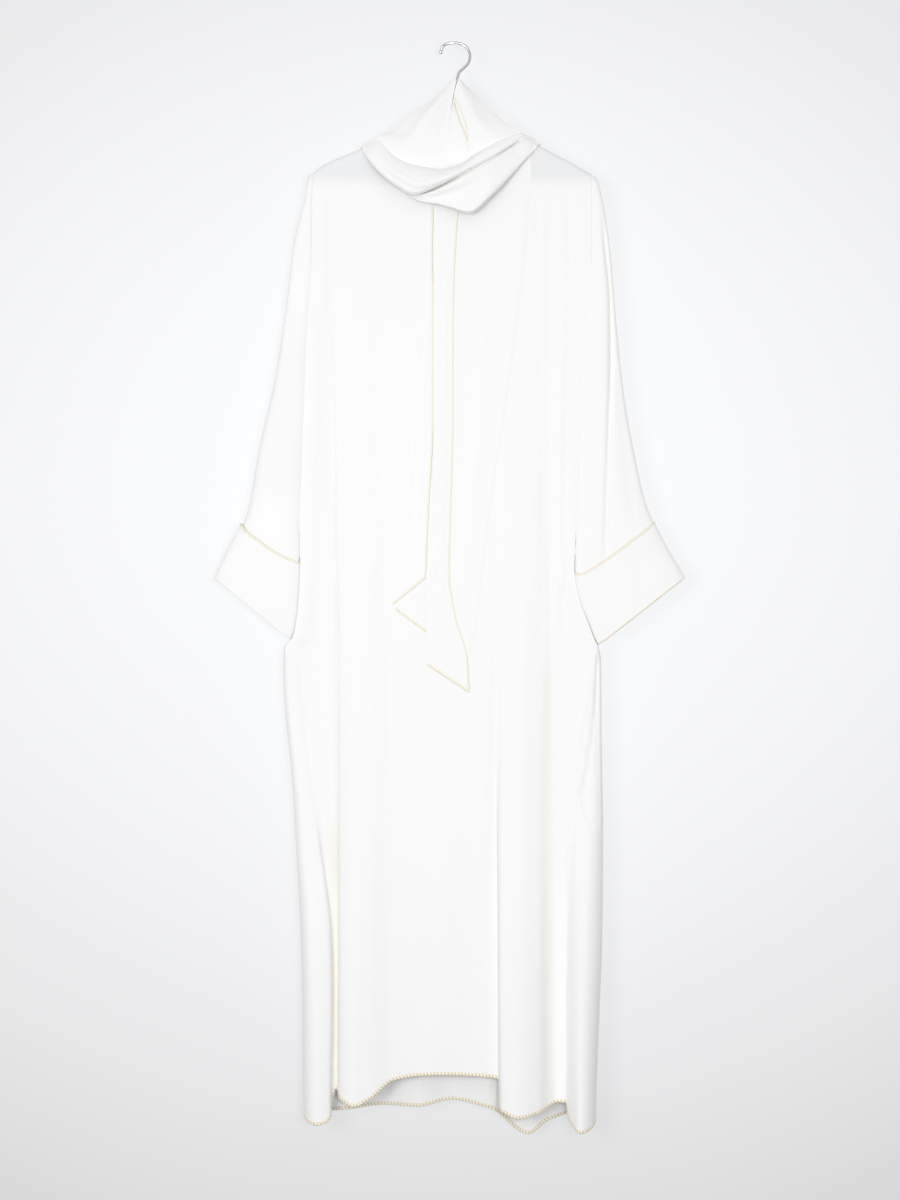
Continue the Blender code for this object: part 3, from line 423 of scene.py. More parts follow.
# For each hanging scarf end how far it lies off the body, and a row for each level: its two edges
Drop = namedtuple("Drop", "left left_down right right_down")
SCARF_ENDS = {
    "scarf_end_left": (1.7, (
        (-41, 226, -31.8, 226), (-42, 262, -32.2, 262), (-43, 313, -33.4, 313), (-51, 358, -31.8, 358),
        (-54, 424, -31.8, 424), (-60, 469, -31.8, 469), (-64, 549, -31.8, 549), (-70, 619, -34.6, 619),
        (-79, 681, -38.5, 681), (-85, 752, -41, 738), (-88, 800, -42, 764), (-90, 818, -43, 780),
    )),
    "scarf_end_left_fold": (0.95, (
        (-82, 742, -43, 730), (-85, 780, -43, 764), (-87, 806, -42, 800), (-88, 824, -41.4, 859),
    )),
    "scarf_end_right_under": (0.95, (
        (-31.4, 236, 111, 164), (-31.4, 262, 110, 195), (-31.4, 300, 107, 247), (-31.4, 330, 103, 301),
        (-31.4, 372, 96, 369), (-31.4, 465, 83, 465), (-31.4, 549, 71, 549), (-33.5, 681, 51, 681),
        (-35.5, 775, 40, 775), (-38.5, 842, 31, 855), (-39.0, 896, 21, 896),
    )),
    "scarf_end_right_over": (1.95, (
        (-31.4, 236, 6, 236), (-31.4, 283, 2, 283), (-31.4, 358, -1.5, 358), (-31.4, 413, -2, 413),
        (-31.4, 492, -2.5, 492), (-31.4, 555, -2.5, 555), (-33.5, 681, -6, 681), (-35.5, 770, -8, 770),
        (-38, 836, 1, 836), (-40, 885, 17, 890), (-41, 905, 21, 946),
    )),
}
# A row for each crease of a hanging end: path is (row number, share of the way across)
END_CREASES = {
    "scarf_end_left": (
        Wrinkle(2.0, -0.8, 0.1, ((0.4, 0.30), (4.0, 0.30), (8.0, 0.34), (11.0, 0.40))),
        Wrinkle(3.5, 0.9, 0.0, ((2.0, 0.62), (6.0, 0.60), (10.0, 0.62))),
    ),
    "scarf_end_right_under": (
        Wrinkle(6.0, -1.0, 0.0, ((0.6, 0.40), (3.0, 0.42), (6.0, 0.46), (9.0, 0.56))),
        Wrinkle(5.0, 0.9, 0.0, ((0.6, 0.62), (3.0, 0.62), (6.0, 0.66), (9.0, 0.76))),
        Wrinkle(3.0, -0.9, 0.1, ((0.4, 0.26), (2.0, 0.25), (4.5, 0.28))),
        Wrinkle(2.0, 0.8, 0.0, ((0.6, 0.97), (4.0, 0.97), (9.6, 0.96))),
    ),
    "scarf_end_right_over": (
        Wrinkle(3.0, -1.0, 0.15, ((0.3, 0.34), (3.0, 0.30), (6.0, 0.36), (10.0, 0.44))),
        Wrinkle(2.5, 0.9, 0.0, ((0.4, 0.58), (4.0, 0.54), (8.0, 0.60), (10.0, 0.66))),
        Wrinkle(2.0, -0.8, 0.2, ((0.2, 0.80), (2.0, 0.76), (5.0, 0.78))),
    ),
}

HOOK_ARC = ((-21.5, 14.0), (-17.5, 3.5), (-9.0, -1.0), (0.0, -1.75), (10.0, 0.5),
            (18.5, 7.0), (22.0, 17.0), (20.0, 27.0), (13.0, 35.0), (6.0, 42.0), (3.6, 50.0),
            (0.8, 64.0), (-2.2, 78.0), (-3.4, 90.0), (-3.4, 96.0))
HANGER_ENDS = (-197.0, 190.0)
BAR_SINK = 6.15  # how far the middle of an arm lies below the middle of the cloth on it
# The turned tip of the hook: step along the wire, and the wire's thickness there
HOOK_TIP = ((2, 1.3), (3, 1.3), (4, 0.85), (5, 0.85), (6, 1.25), (7, 1.25), (8, 0.85), (10, 1.2), (11, 1.2))

# The backdrop in metres, with its rows on the floor, round the bend and up the wall
FLOOR, WALL, BEND, REACH = -2.35, 0.062, 0.4, 4.0
FLOOR_ROWS, BEND_ROWS, WALL_ROWS = 8, 32, 8
AIM = (0.0, 0.0, -0.7)
KEY_PLACE, KEY_SIZE = (-0.95, -2.9, -0.65), 0.9
FILL_PLACE, FILL_SIZE = (0.3, -3.0, -0.75), 0.35
CAMERA_PLACE, SENSOR, FOCAL = (-0.0073, -3.0, -0.8118), 36.0, 61.64


def inner_slopes(steps):
    """Slopes at a line's inner knots: level at its crests and valleys, smooth between them."""
    return [0.0 if a * b <= 0 else 2 * a * b / (a + b) for a, b in zip(steps, steps[1:])]


def cubic(t, width, start, start_slope, end, end_slope):
    """Value at share t of the way between two knots of a smooth line."""
    s = 1 - t
    return (start * (1 + 2 * t) * s * s + start_slope * width * t * s * s
            + end * t * t * (3 - 2 * t) - end_slope * width * t * t * s)


class Track:
    """A smooth line through (position, value) knots, without overshoot."""

    def __init__(self, knots):
        self.at, self.value = zip(*((float(at), float(value)) for at, value in knots))
        steps = [(b - a) / (q - p) for p, q, a, b in zip(self.at, self.at[1:], self.value, self.value[1:])]
        self.slope = [steps[0], *inner_slopes(steps), steps[-1]]

    def __call__(self, at):
        if at <= self.at[0]:
            return self.value[0]
        if at >= self.at[-1]:
            return self.value[-1]
        i = bisect_right(self.at, at) - 1
        width = self.at[i + 1] - self.at[i]
        t = (at - self.at[i]) / width
        return cubic(t, width, self.value[i], self.slope[i], self.value[i + 1], self.slope[i + 1])


def between_rows(kind, table):
    """A function that gives a table's row at any place between its rows, each column a smooth line."""
    tracks = [Track(enumerate(column)) for column in zip(*table)]
    return lambda at: kind(*(track(at) for track in tracks))


def with_tracks(rows):
    return [(row, Track(row.path)) for row in rows]


def ease(t):
    """Smooth step from 0 to 1, level at both ends."""
    return 0.5 - 0.5 * math.cos(math.pi * min(max(t, 0.0), 1.0))


def arch(t, power):
    """From 0 up to 1 at half way and back, rounder the smaller the power is."""
    return math.sin(math.pi * t) ** power if 0 < t < 1 else 0.0


def place(across, down, forward):
    return Vector((across, -forward, -down))


shoulder_line = Track(SHOULDER_LINE)
armhole_gap = Track(ARMHOLE_DEPTH)
left_edge, right_edge = Track(LEFT_EDGE), Track(RIGHT_EDGE)
SIDE_EDGES = {"left": left_edge, "right": right_edge}
FACING = {"front": 1, "back": -1}
FOLDS = {"front": FRONT_FOLDS, "back": BACK_FOLDS}
FOLD_TRACKS = {
    panel: [(f.side, Track(zip(FOLD_LEVELS, f.across)), Track(zip(FOLD_LEVELS, f.depth))) for f in folds]
    for panel, folds in FOLDS.items()
}
CREASE_TRACKS = {"front": with_tracks(FRONT_CREASES), "back": with_tracks(BACK_CREASES)}
LAP_TRACKS = {"front": with_tracks(FRONT_LAPS), "back": with_tracks(BACK_LAPS)}
PLEAT_TRACKS = {side: with_tracks(rows) for side, rows in PLEATS.items()}


def neck_turn(across):
    """1 inside the neckline, where the cloth's edges stand clear of the bar, 0 outside it."""
    return ease((NECK_HALF - abs(across)) / (NECK_HALF - NECK_CURVE))


def shoulder_turn(across, down):
    """0 on the shoulder line, 1 once the cloth has turned down off the arm or at the neckline."""
    fall = (down - shoulder_line(across)) / ARM_RISE
    if fall >= 1:
        return 1.0
    turned = math.sqrt(max(0.0, 1 - (1 - max(fall, 0.0)) ** 2))
    return max(turned, neck_turn(across))


def armhole_depth(edge, down):
    """How far the panels' side edges stand from the middle, front or back."""
    return SIDE_GAP + (armhole_gap(down) - SIDE_GAP) * shoulder_turn(edge, down)


def fold_lines(panel, down):
    """Across and depth of each fold line of a panel at a level."""
    left, right = left_edge(down), right_edge(down)
    lines = []
    pressed = ease((down - PRESS_FROM) / PRESS_IN) * ease((PRESS_TO - down) / PRESS_OUT)
    for side, across, depth in FOLD_TRACKS[panel]:
        base = across(down)
        if side != "middle" and base < PRESS_WIDTH:
            base *= 1 - CUFF_PRESS * pressed
        x = left + base if side == "left" else right - base if side == "right" else base
        lines.append((x, depth(down)))
    return lines


def fold_slopes(lines):
    """How fast the depth changes at each fold line."""
    steps = [(b[1] - a[1]) / max(abs(b[0] - a[0]), FOLD_STEP) for a, b in zip(lines, lines[1:])]
    return [0.0, *inner_slopes(steps), 0.0]


def between_folds(lines, slopes, k, t):
    """Across and depth at share t of the way from fold line k to the next."""
    (x0, y0), (x1, y1) = lines[k], lines[k + 1]
    return x0 + (x1 - x0) * t, cubic(t, max(abs(x1 - x0), FOLD_STEP), y0, slopes[k], y1, slopes[k + 1])


def unevenness(across, down, seed, size):
    """The slow swell of cloth that hangs, in millimetres."""
    slow = noise.noise(Vector((across / 42.0, down / 430.0, seed)))
    quick = noise.noise(Vector((across / 17.0, down / 190.0, seed + 7.3)))
    return size * (0.9 * slow + 0.35 * quick)


def panel_swell(down):
    """Size of a panel's unevenness, which grows below the shoulders."""
    return SWELL_LEAST + SWELL_MORE * ease((down - SHOULDER) / SWELL_LENGTH)


def ends_fade(at, path, fade):
    """1 along a path, easing to 0 at both its ends."""
    return ease((at - path.at[0]) / fade) * ease((path.at[-1] - at) / fade)


def crease_share(off, at, path, fade):
    """How much of a crease is left at off widths beside its path."""
    return math.exp(-off * off) * ends_fade(at, path, fade) if abs(off) < CREASE_REACH else 0.0


def relief(panel, across, down):
    """How far the creases and laps move the cloth out at a place, and how much painted ivory shade lies
    there.
    """
    out = warm = 0.0
    for crease, path in CREASE_TRACKS[panel]:
        if path.at[0] < down < path.at[-1]:
            near = crease_share((across - path(down)) / crease.width, down, path, FOLD_FADE)
            if near:
                wander = noise.noise(Vector((down / 90.0, crease.width, path.value[0] / 31.0)))
                out += crease.height * near * (1 + CREASE_WANDER * wander)
                warm += crease.warm * near
    for lap, path in LAP_TRACKS[panel]:
        if path.at[0] < down < path.at[-1]:
            off = across - path(down)
            if 0 < off < lap.reach:
                fall = ease(off / lap.width) * (1 - ease((off - lap.width) / (lap.reach - lap.width)))
                out -= lap.drop * fall * ends_fade(down, path, FOLD_FADE)
    return out, warm


def panel_depth(across, down):
    """How far out the front panel stands at a place away from its edges, its relief included."""
    lines = fold_lines("front", down)
    depth = lines[0][1] if across < lines[0][0] else lines[-1][1]
    for k, ((x0, _), (x1, _)) in enumerate(zip(lines, lines[1:])):
        if x0 <= across <= x1:
            depth = between_folds(lines, fold_slopes(lines), k, (across - x0) / max(x1 - x0, 1e-6))[1]
            break
    out, _ = relief("front", across, down)
    swell = unevenness(across, down, PANEL_SEEDS["front"], panel_swell(down))
    return (depth + out + swell) * shoulder_turn(across, down)


def clear_of_body(across, down, forward, lift):
    """A place of the scarf, moved outwards until it clears the cloth on the hanger by lift."""
    reach = ROLL + LAYER_ROOM + lift
    side = 1 if forward >= 0 else -1
    axis = shoulder_line(across) + ARM_RISE
    fall = down - axis
    surface = panel_depth(across, down) if side > 0 else ROLL
    if fall < 0:
        grow = max(1.0, reach / math.hypot(forward, fall))
        if fall < -ARM_RISE - NECK_CLEAR:
            surface = 0.0
        out = max(abs(forward) * grow, neck_turn(across) * (surface + reach - ROLL))
        return place(across, axis + fall * grow, side * out)
    return place(across, down, side * max(abs(forward), surface + reach - ROLL))


def even_columns(section, stops, columns):
    """Stop positions that share out the length of a section evenly."""
    samples = [stops * k / 240 for k in range(241)]
    places = [Vector(section(stop)) for stop in samples]
    run = [0.0]
    for a, b in zip(places, places[1:]):
        run.append(run[-1] + (b - a).length + 1e-6)
    stop_at = Track(zip([r / run[-1] for r in run], samples))
    return [stop_at(c / columns) for c in range(columns + 1)]


# Share of the painted bluish shade at a level: full above the shoulders' soft edge, fading below it
def shoulder_painted_shade(down):
    return ease((COOL_LEVEL - down) / COOL_FADE)


def body_surface(panel, columns, rows):
    """Point and tones of a body panel at a column and row, row 0 at the hem."""
    folds, seed = FOLDS[panel], PANEL_SEEDS[panel]
    hems = Track(enumerate((SIDE_HEMS[0], *(f.hem for f in folds), SIDE_HEMS[1])))
    count = len(folds) + 1

    @lru_cache(maxsize=4000)
    def level(down):
        lines = fold_lines(panel, down)
        return left_edge(down), right_edge(down), armhole_gap(down), lines, fold_slopes(lines)

    def section(stop, down):
        left, right, gap, lines, slopes = level(down)
        k = min(int(stop), count - 1)
        t = stop - k
        if 0 < k < count - 1:
            return between_folds(lines, slopes, k - 1, t)
        edge, (x, y), turn = (left, lines[0], t) if k == 0 else (right, lines[-1], 1 - t)
        turn *= math.pi / 2
        return edge + (x - edge) * (1 - math.cos(turn)), gap + (y - gap) * math.sin(turn)

    stops = even_columns(lambda stop: section(stop, KNEE), count, columns)
    tops = []
    for stop in stops:
        across = section(stop, SHOULDER)[0]
        inside = 1 - min(abs(across) / NECK_CURVE, 1.0)
        tops.append(shoulder_line(across) + NECK_DROPS[panel] * ease(inside * NECK_WIDTH))

    def at(column, row):
        stop, top, step = stops[column], tops[column], rows - row
        if step <= TURN_ROWS:
            down = top + ARM_RISE * (1 - math.cos(math.pi / 2 * step / TURN_ROWS))
        else:
            start = top + ARM_RISE
            down = start + (hems(stop) - start) * (step - TURN_ROWS) / (rows - TURN_ROWS)
        across, depth = section(stop, down)
        left, right, *_ = level(down)
        free = ease(min(across - left, right - across) / EDGE_FREE)
        out, warm = relief(panel, across, down)
        depth += free * (out + unevenness(across, down, seed, panel_swell(down)))
        turned = SIDE_GAP + max(depth - SIDE_GAP, 0.0) * shoulder_turn(across, down)
        # Painted bluish shade above the shoulders, away from the panel's middle
        painted_bluish_shade = shoulder_painted_shade(down) * ease((abs(across) - COOL_ACROSS) / COOL_OVER)
        return place(across, down, FACING[panel] * turned), warm, painted_bluish_shade

    return at


def sleeve_point(side, section_at, row, angle):
    """Point and tone on a sleeve's section, angle 0 at the front of its inner side, pi at its outer fold."""
    s = section_at(row)
    outward, edge = OUTWARD[side], SIDE_EDGES[side](s.inner_down)
    inner = edge + outward * (ARMHOLE_GAP + CUFF_ROOM * ease((row - ROOM_ROW) / ROOM_ROWS))
    in_front = angle <= math.pi
    depth = s.front if in_front else s.back
    swing = angle if in_front else 2 * math.pi - angle
    bulge = SLEEVE_BULGE + (INNER_BULGE - SLEEVE_BULGE) * s.closed * (1 + math.cos(swing)) / 2
    start = math.asin(min(1.0, armhole_depth(edge, s.inner_down) / depth) ** (1 / bulge))
    turn = start + (math.pi - start) * swing / math.pi
    share = (math.cos(start) - math.cos(turn)) / (1 + math.cos(start))
    forward = depth * math.sin(turn) ** bulge if turn < math.pi else 0.0
    down = s.inner_down + (s.outer_down - s.inner_down) * share
    across = inner + (s.outer - inner) * share
    width = abs(s.outer - inner)
    free = ease(share * width / INNER_FREE) * ease((1 - share) * width / OUTER_FREE)
    out = warm = 0.0
    for pleat, path in PLEAT_TRACKS[side]:
        if pleat.behind != in_front and path.at[0] < down < path.at[-1]:
            near = crease_share((abs(across) - abs(path(down))) / pleat.width, down, path, PLEAT_FADE)
            if near:
                wander = noise.noise(Vector((down / 80.0, width / 90, pleat.width)))
                out += pleat.height * near * (1 + CREASE_WANDER * wander)
                warm += pleat.warm * near
    seed = SLEEVE_SEEDS[side] + (0 if in_front else BEHIND_SEED)
    out += unevenness(inner + share * width * SLEEVE_WIDEN, down, seed, SLEEVE_SWELL)
    forward = max(forward + out * free, 0.0) if free > 0 else forward
    if in_front:
        lap = outward * INNER_LAP * min(1.0, LAP_CLOSED * s.closed)
        lap *= ease((forward - LAP_FORWARD) / LAP_FADE)
        lap *= 1 - ease(share * width / LAP_WIDTH)
        across -= lap
    return place(across, down, forward if in_front else -forward), warm


def sleeve_surface(side, columns, rows):
    """Point and tones of a sleeve at a column and row, row 0 at the cuff."""
    section_at = between_rows(Section, SLEEVES[side])
    last = len(SLEEVES[side]) - 1

    def at(column, row):
        point, warm = sleeve_point(side, section_at, last * (1 - row / rows), 2 * math.pi * column / columns)
        down = -point.z
        painted_bluish_shade = shoulder_painted_shade(down)
        # Painted bluish shade on the left sleeve above its cuff
        if side == "left":
            bluish = SLEEVE_COOL * ease((down - SLEEVE_COOL_TOP) / SLEEVE_COOL_IN)
            painted_bluish_shade = max(painted_bluish_shade, bluish * ease((SLEEVE_COOL_FOOT - down) / SLEEVE_COOL_OUT))
        return point, warm, painted_bluish_shade

    return at


def cuff_surface(side, columns, rows):
    """The turned-up end of a sleeve, row 0 where it has rolled in to the sleeve's own end."""
    section_at = between_rows(Section, SLEEVES[side])
    top = Track(CUFF_TOPS[side])
    last = len(SLEEVES[side]) - 1
    outward = OUTWARD[side]

    def at(column, row):
        angle = 2 * math.pi * (column % columns) / columns
        outer = (1 - math.cos(angle)) / 2
        rise = max(0, row - CUFF_TURN_ROWS) / (rows - CUFF_TURN_ROWS)
        lane = last - rise * (CUFF_ROWS - 1 - top(outer) / LANE_FALL)
        step = math.pi / 30
        ahead = sleeve_point(side, section_at, lane, min(angle + step, 2 * math.pi))[0]
        behind = sleeve_point(side, section_at, lane, max(angle - step, 0.0))[0]
        run = (ahead - behind).xy.normalized()
        away = Vector((run.y, -run.x, 0.0)) * outward
        if column % columns == 0:
            away = Vector((-outward, 0.0, 0.0))
        base = sleeve_point(side, section_at, lane, angle)[0]
        wave = noise.noise(Vector((angle * 1.6, rise * 1.4, CUFF_SEEDS[side])))
        slant = noise.noise(Vector((angle * 3.0 + rise * 2.0, rise * 2.5, 41.0)))
        stand = CUFF_STAND + (CUFF_ROUND + CUFF_FLARE[side] * rise) * outer
        stand += (CUFF_WAVE * wave + CUFF_SLANT * slant) * outer * (CUFF_EASE + rise)
        if row < CUFF_TURN_ROWS:
            turn = math.pi * CUFF_TURN * (CUFF_TURN_ROWS - row) / CUFF_TURN_ROWS
            below = Vector((0.0, 0.0, -CUFF_DROP * stand * math.sin(turn)))
            return base + away * stand * (1 + math.cos(turn)) / 2 + below, 0.0, 0.0
        return base + away * stand, 0.0, 0.0

    return at


def wrinkled(wrinkles, at, share, width):
    """How far the wrinkles move the cloth out, and how much painted ivory shade lies there, at a place of a
    stretch.
    """
    out = warm = 0.0
    for wrinkle, path in wrinkles:
        if path.at[0] < at < path.at[-1]:
            fade = WRINKLE_FADE * (path.at[-1] - path.at[0])
            near = crease_share((share - path(at)) * width / wrinkle.width, at, path, fade)
            out += wrinkle.height * near
            warm += wrinkle.warm * near
    return out, warm


def stretch_surface(name, columns, rows):
    """Point and tones of a stretch of the scarf at a column (along) and row (from edge to edge)."""
    stations = SCARF_STRETCHES[name]
    station_at = between_rows(Station, stations)
    wrinkles = with_tracks(SCARF_WRINKLES.get(name, ()))
    band = name.startswith("scarf_band")
    lift, bend = (BAND_LIFT, SCARF_ROUND) if band else (RISE_LIFT, RISE_ROUND)
    last = len(stations) - 1

    def at(column, row):
        lane, t = last * column / columns, row / rows
        s = station_at(lane)
        width = math.hypot(s.to_across - s.across, s.to_down - s.down)
        side = -1 if s.bulge < 0 else 1
        folds, warm = wrinkled(wrinkles, lane, t, width)
        swell = noise.noise(Vector((lane * 0.9, t * 2.2, len(name) * 1.7))) * STRETCH_SWELL
        rising = t
        if name == "scarf_band_upper":
            rising = 1 - (1 - t) ** LIP
        elif name == "scarf_rise_right":
            rising = t ** SLIT_LIP
        forward = s.forward + (s.to_forward - s.forward) * rising + s.bulge * arch(t, bend)
        forward += side * arch(t, 0.5) * min(1.0, width / WRINKLE_ROOM) * (folds + swell)
        if band:
            t = 1 - (1 - t) ** BAND_ROLL
        point = clear_of_body(
            s.across + (s.to_across - s.across) * t, s.down + (s.to_down - s.down) * t, forward, lift)
        return point, warm, RISE_PAINTED_SHADE if name == "scarf_rise_left" else 0.0

    return at


def last_turn_surface(columns, rows):
    """Point and tones of the scarf's last turn round the neck, which the upper band lies over."""
    turn_at = between_rows(Turn, LAST_TURN)
    wrinkles = with_tracks(SCARF_WRINKLES["last_turn"])
    sections = []
    for column in range(columns + 1):
        lane = (len(LAST_TURN) - 1) * column / columns
        s = turn_at(lane)
        across, down = (
            Track(((0, upper), (0.5, crease), (LOW_CREST, lower * TUCK + crease * (1 - TUCK)), (1, lower)))
            for upper, crease, lower in (
                (s.across, s.crease_across, s.to_across), (s.down, s.crease_down, s.to_down)))
        out = Track(((0, s.edge), (CREST, s.crest), (0.5, s.crease), (LOW_CREST, s.low_crest), (1, s.foot)))
        sections.append((lane, math.hypot(s.to_across - s.across, s.to_down - s.down), across, down, out))

    def at(column, row):
        lane, width, across, down, out = sections[column]
        t = row / rows
        folds, warm = wrinkled(wrinkles, lane, t, width)
        swell = noise.noise(Vector((lane * 0.9, t * 2.0, 5.1))) * TURN_SWELL
        forward = out(t) + arch(t, 0.5) * min(1.0, width / WRINKLE_ROOM) * (folds + swell)
        return clear_of_body(across(t), down(t), forward, BAND_LIFT), warm, TURN_PAINTED_SHADE

    return at


def end_surface(name, columns, rows):
    """Point and tones of a hanging end: the front panel's points under it, moved out."""
    off_body, drops = SCARF_ENDS[name]
    drop_at = between_rows(Drop, drops)
    wrinkles = with_tracks(END_CREASES.get(name, ()))
    last = len(drops) - 1

    def at(column, row):
        u, lane = column / columns, last * (1 - row / rows)
        d = drop_at(lane)
        width = d.right - d.left
        across = d.left + width * u
        down = d.left_down + (d.right_down - d.left_down) * u
        folds, warm = wrinkled(wrinkles, lane, u, width)
        rim = min(u, 1 - u) * width
        creased = min(max(folds, END_TROUGH), END_RIDGE) * END_SHARE
        off = off_body + creased - RIM_DROP * (1 - ease(rim / RIM_WIDTH))
        return clear_of_body(across, down, panel_depth(across, down) + off, END_LIFT), warm, 0.0

    return at


def new_object(name, bm, material):
    mesh = bpy.data.meshes.new(name)
    bm.to_mesh(mesh)
    bm.free()
    mesh.shade_smooth()
    mesh.materials.append(material)
    piece = bpy.data.objects.new(name, mesh)
    bpy.context.scene.collection.objects.link(piece)
    return piece


def cloth_shell(name, columns, rows, surface, closed=False, node=None):
    """A thin wall of crepe on a grid, each corner moved to its place on the surface."""
    bm = bmesh.new()
    bm.loops.layers.uv.new("UVMap")
    # Painted shade, one layer each: the ivory shade in deep folds and the bluish shade from the wall
    painted_fold_shade_layer = bm.verts.layers.float.new("warm")
    painted_bluish_shade_layer = bm.verts.layers.float.new("painted_bluish_shade")
    bmesh.ops.create_grid(bm, x_segments=columns, y_segments=rows, size=0.5, calc_uvs=True)
    for vert in bm.verts:
        column, row = round((vert.co.x + 0.5) * columns), round((vert.co.y + 0.5) * rows)
        point, warm, painted_bluish_shade = surface(column, row)
        vert.co = point * MM
        vert[painted_fold_shade_layer], vert[painted_bluish_shade_layer] = min(warm, 1.0), min(painted_bluish_shade, 1.0)
    if closed:
        bmesh.ops.remove_doubles(bm, verts=bm.verts, dist=1e-6)
    for edge in bm.edges:
        edge.smooth = not edge.is_boundary
    piece = new_object(name, bm, crepe())
    wall = piece.modifiers.new("cloth", "SOLIDIFY")
    wall.thickness = bpy.context.scene.abaya_cloth.thickness
    wall.offset = 0.0
    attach(piece, "root")
    if node:
        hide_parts(node)
    return piece


def tube(name, steps, around, corner, material, layer=None):
    """A closed tube. corner(k, turn) gives a place in millimetres and the layer's value there."""
    bm = bmesh.new()
    values = bm.verts.layers.float.new(layer) if layer else None
    bmesh.ops.create_grid(bm, x_segments=steps, y_segments=around, size=0.5)
    for vert in bm.verts:
        k, j = round((vert.co.x + 0.5) * steps), round((vert.co.y + 0.5) * around) % around
        point, value = corner(k, 2 * math.pi * j / around)
        vert.co = point * MM
        if layer:
            vert[values] = value
    bmesh.ops.remove_doubles(bm, verts=bm.verts, dist=1e-7)
    bmesh.ops.holes_fill(bm, edges=bm.edges)
    bmesh.ops.recalc_face_normals(bm, faces=bm.faces)
    piece = new_object(name, bm, material)
    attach(piece, "root")
    return piece


def serged_edge(name, surface, line, inward, width, pitch=None):
    """Thread wound over an edge of the cloth: a flat tube on the edge, ridged by its slanted stitches.

    line(t) gives the column and row of a place on the edge, inward the step in columns and rows
    that leads from the edge into the cloth, and width how wide the sewing is, in millimetres.
    """
    settings = bpy.context.scene.abaya_cloth
    pitch = pitch or settings.stitch_pitch / MM
    stand = settings.thickness / MM / 2 + THREAD_LIFT
    places = [line(k / FINE) for k in range(FINE + 1)]
    path = [surface(*spot)[0] for spot in places]
    into = [surface(column + inward[0], row + inward[1])[0] - point
            for (column, row), point in zip(places, path)]
    run = [0.0]
    for a, b in zip(path, path[1:]):
        run.append(run[-1] + (b - a).length)
    length = run[-1]
    steps = max(12, int(length / pitch * STITCH_STEPS))

    def between(points, at):
        k = min(max(bisect_right(run, at) - 1, 0), FINE - 1)
        t = (at - run[k]) / max(run[k + 1] - run[k], 1e-9)
        return points[k].lerp(points[k + 1], min(max(t, 0.0), 1.0))

    def corner(k, turn):
        at = length * k / steps
        tangent = (between(path, min(at + 1.0, length)) - between(path, max(at - 1.0, 0.0))).normalized()
        inner = between(into, at)
        inner = (inner - tangent * inner.dot(tangent)).normalized()
        ends = min(1.0, THREAD_END + THREAD_GROW * min(at, length - at) / width)
        wobble = 1 + THREAD_WOBBLE * noise.noise(Vector((at / 5.0, 3.1, len(name))))
        half = width / 2 * ends * wobble
        over = math.sin(turn)
        slant = at / pitch + STITCH_SLANT * math.cos(turn) * (1 if over >= 0 else -1)
        ridge = abs(math.sin(math.pi * slant)) ** STITCH_FORM
        rise = (stand + STITCH_RISE * ridge) * ends
        point = between(path, at) + inner * (half - THREAD_OVER + half * math.cos(turn))
        point += tangent.cross(inner) * rise * math.copysign(abs(over) ** THREAD_FLAT, over)
        # Painted shade: the stitch value is low in the grooves between stitches and on the thread's two sides
        light = ridge if width > NARROW else ridge ** NARROW_SHADE
        return point, light * (1 - THREAD_SHADE * math.cos(turn) ** 4)

    piece = tube(name, steps, STITCH_SIDES, corner, thread(), "stitch")
    return piece


def round_bar(name, route, radius, material):
    """A round bar along (across, down, radius share) points, closed by its own narrowing ends."""
    last = len(route) - 1
    depth = Vector((0.0, 1.0, 0.0))

    def corner(k, turn):
        across, down, share = route[k]
        a, b = route[max(k - 1, 0)], route[min(k + 1, last)]
        tangent = Vector((b[0] - a[0], 0.0, a[1] - b[1])).normalized()
        swing = tangent.cross(depth) * math.cos(turn) + depth * math.sin(turn)
        return place(across, down, 0.0) + swing * radius * share, None

    return tube(name, last, 20, corner, material)


def put(links, value, socket):
    """Links a socket to another, or sets it to a plain number or colour."""
    if isinstance(value, bpy.types.NodeSocket):
        links.new(value, socket)
    elif socket.type == "RGBA":
        socket.default_value = (*value[:3], 1.0)
    else:
        socket.default_value = value


def calculated(nodes, links, operation, *values):
    node = nodes.new("ShaderNodeMath")
    node.operation = operation
    for value, socket in zip(values, node.inputs):
        put(links, value, socket)
    return node.outputs[0]


def mixed(nodes, links, share, first, second):
    """A mix of two colours; share, first and second are sockets or plain values."""
    mix = nodes.new("ShaderNodeMix")
    mix.data_type = "RGBA"
    for value, socket in ((share, mix.inputs[0]), (first, mix.inputs[6]), (second, mix.inputs[7])):
        put(links, value, socket)
    return mix.outputs[2]


def object_place(nodes):
    return nodes.new("ShaderNodeTexCoord").outputs["Object"]


def noise_on(nodes, links, scale, detail=2.0, where=None):
    """Noise over the piece's own coordinates, with scale as a number or a socket."""
    texture = nodes.new("ShaderNodeTexNoise")
    texture.inputs["Detail"].default_value = detail
    put(links, scale, texture.inputs["Scale"])
    links.new(where or object_place(nodes), texture.inputs["Vector"])
    return texture.outputs["Fac"]


def attribute(nodes, name):
    node = nodes.new("ShaderNodeAttribute")
    node.attribute_name = name
    return node.outputs["Fac"]


def bumped(nodes, links, shader, height, strength, depth):
    bump = nodes.new("ShaderNodeBump")
    bump.inputs["Strength"].default_value = strength
    bump.inputs["Distance"].default_value = depth
    links.new(height, bump.inputs["Height"])
    links.new(bump.outputs["Normal"], shader.inputs["Normal"])


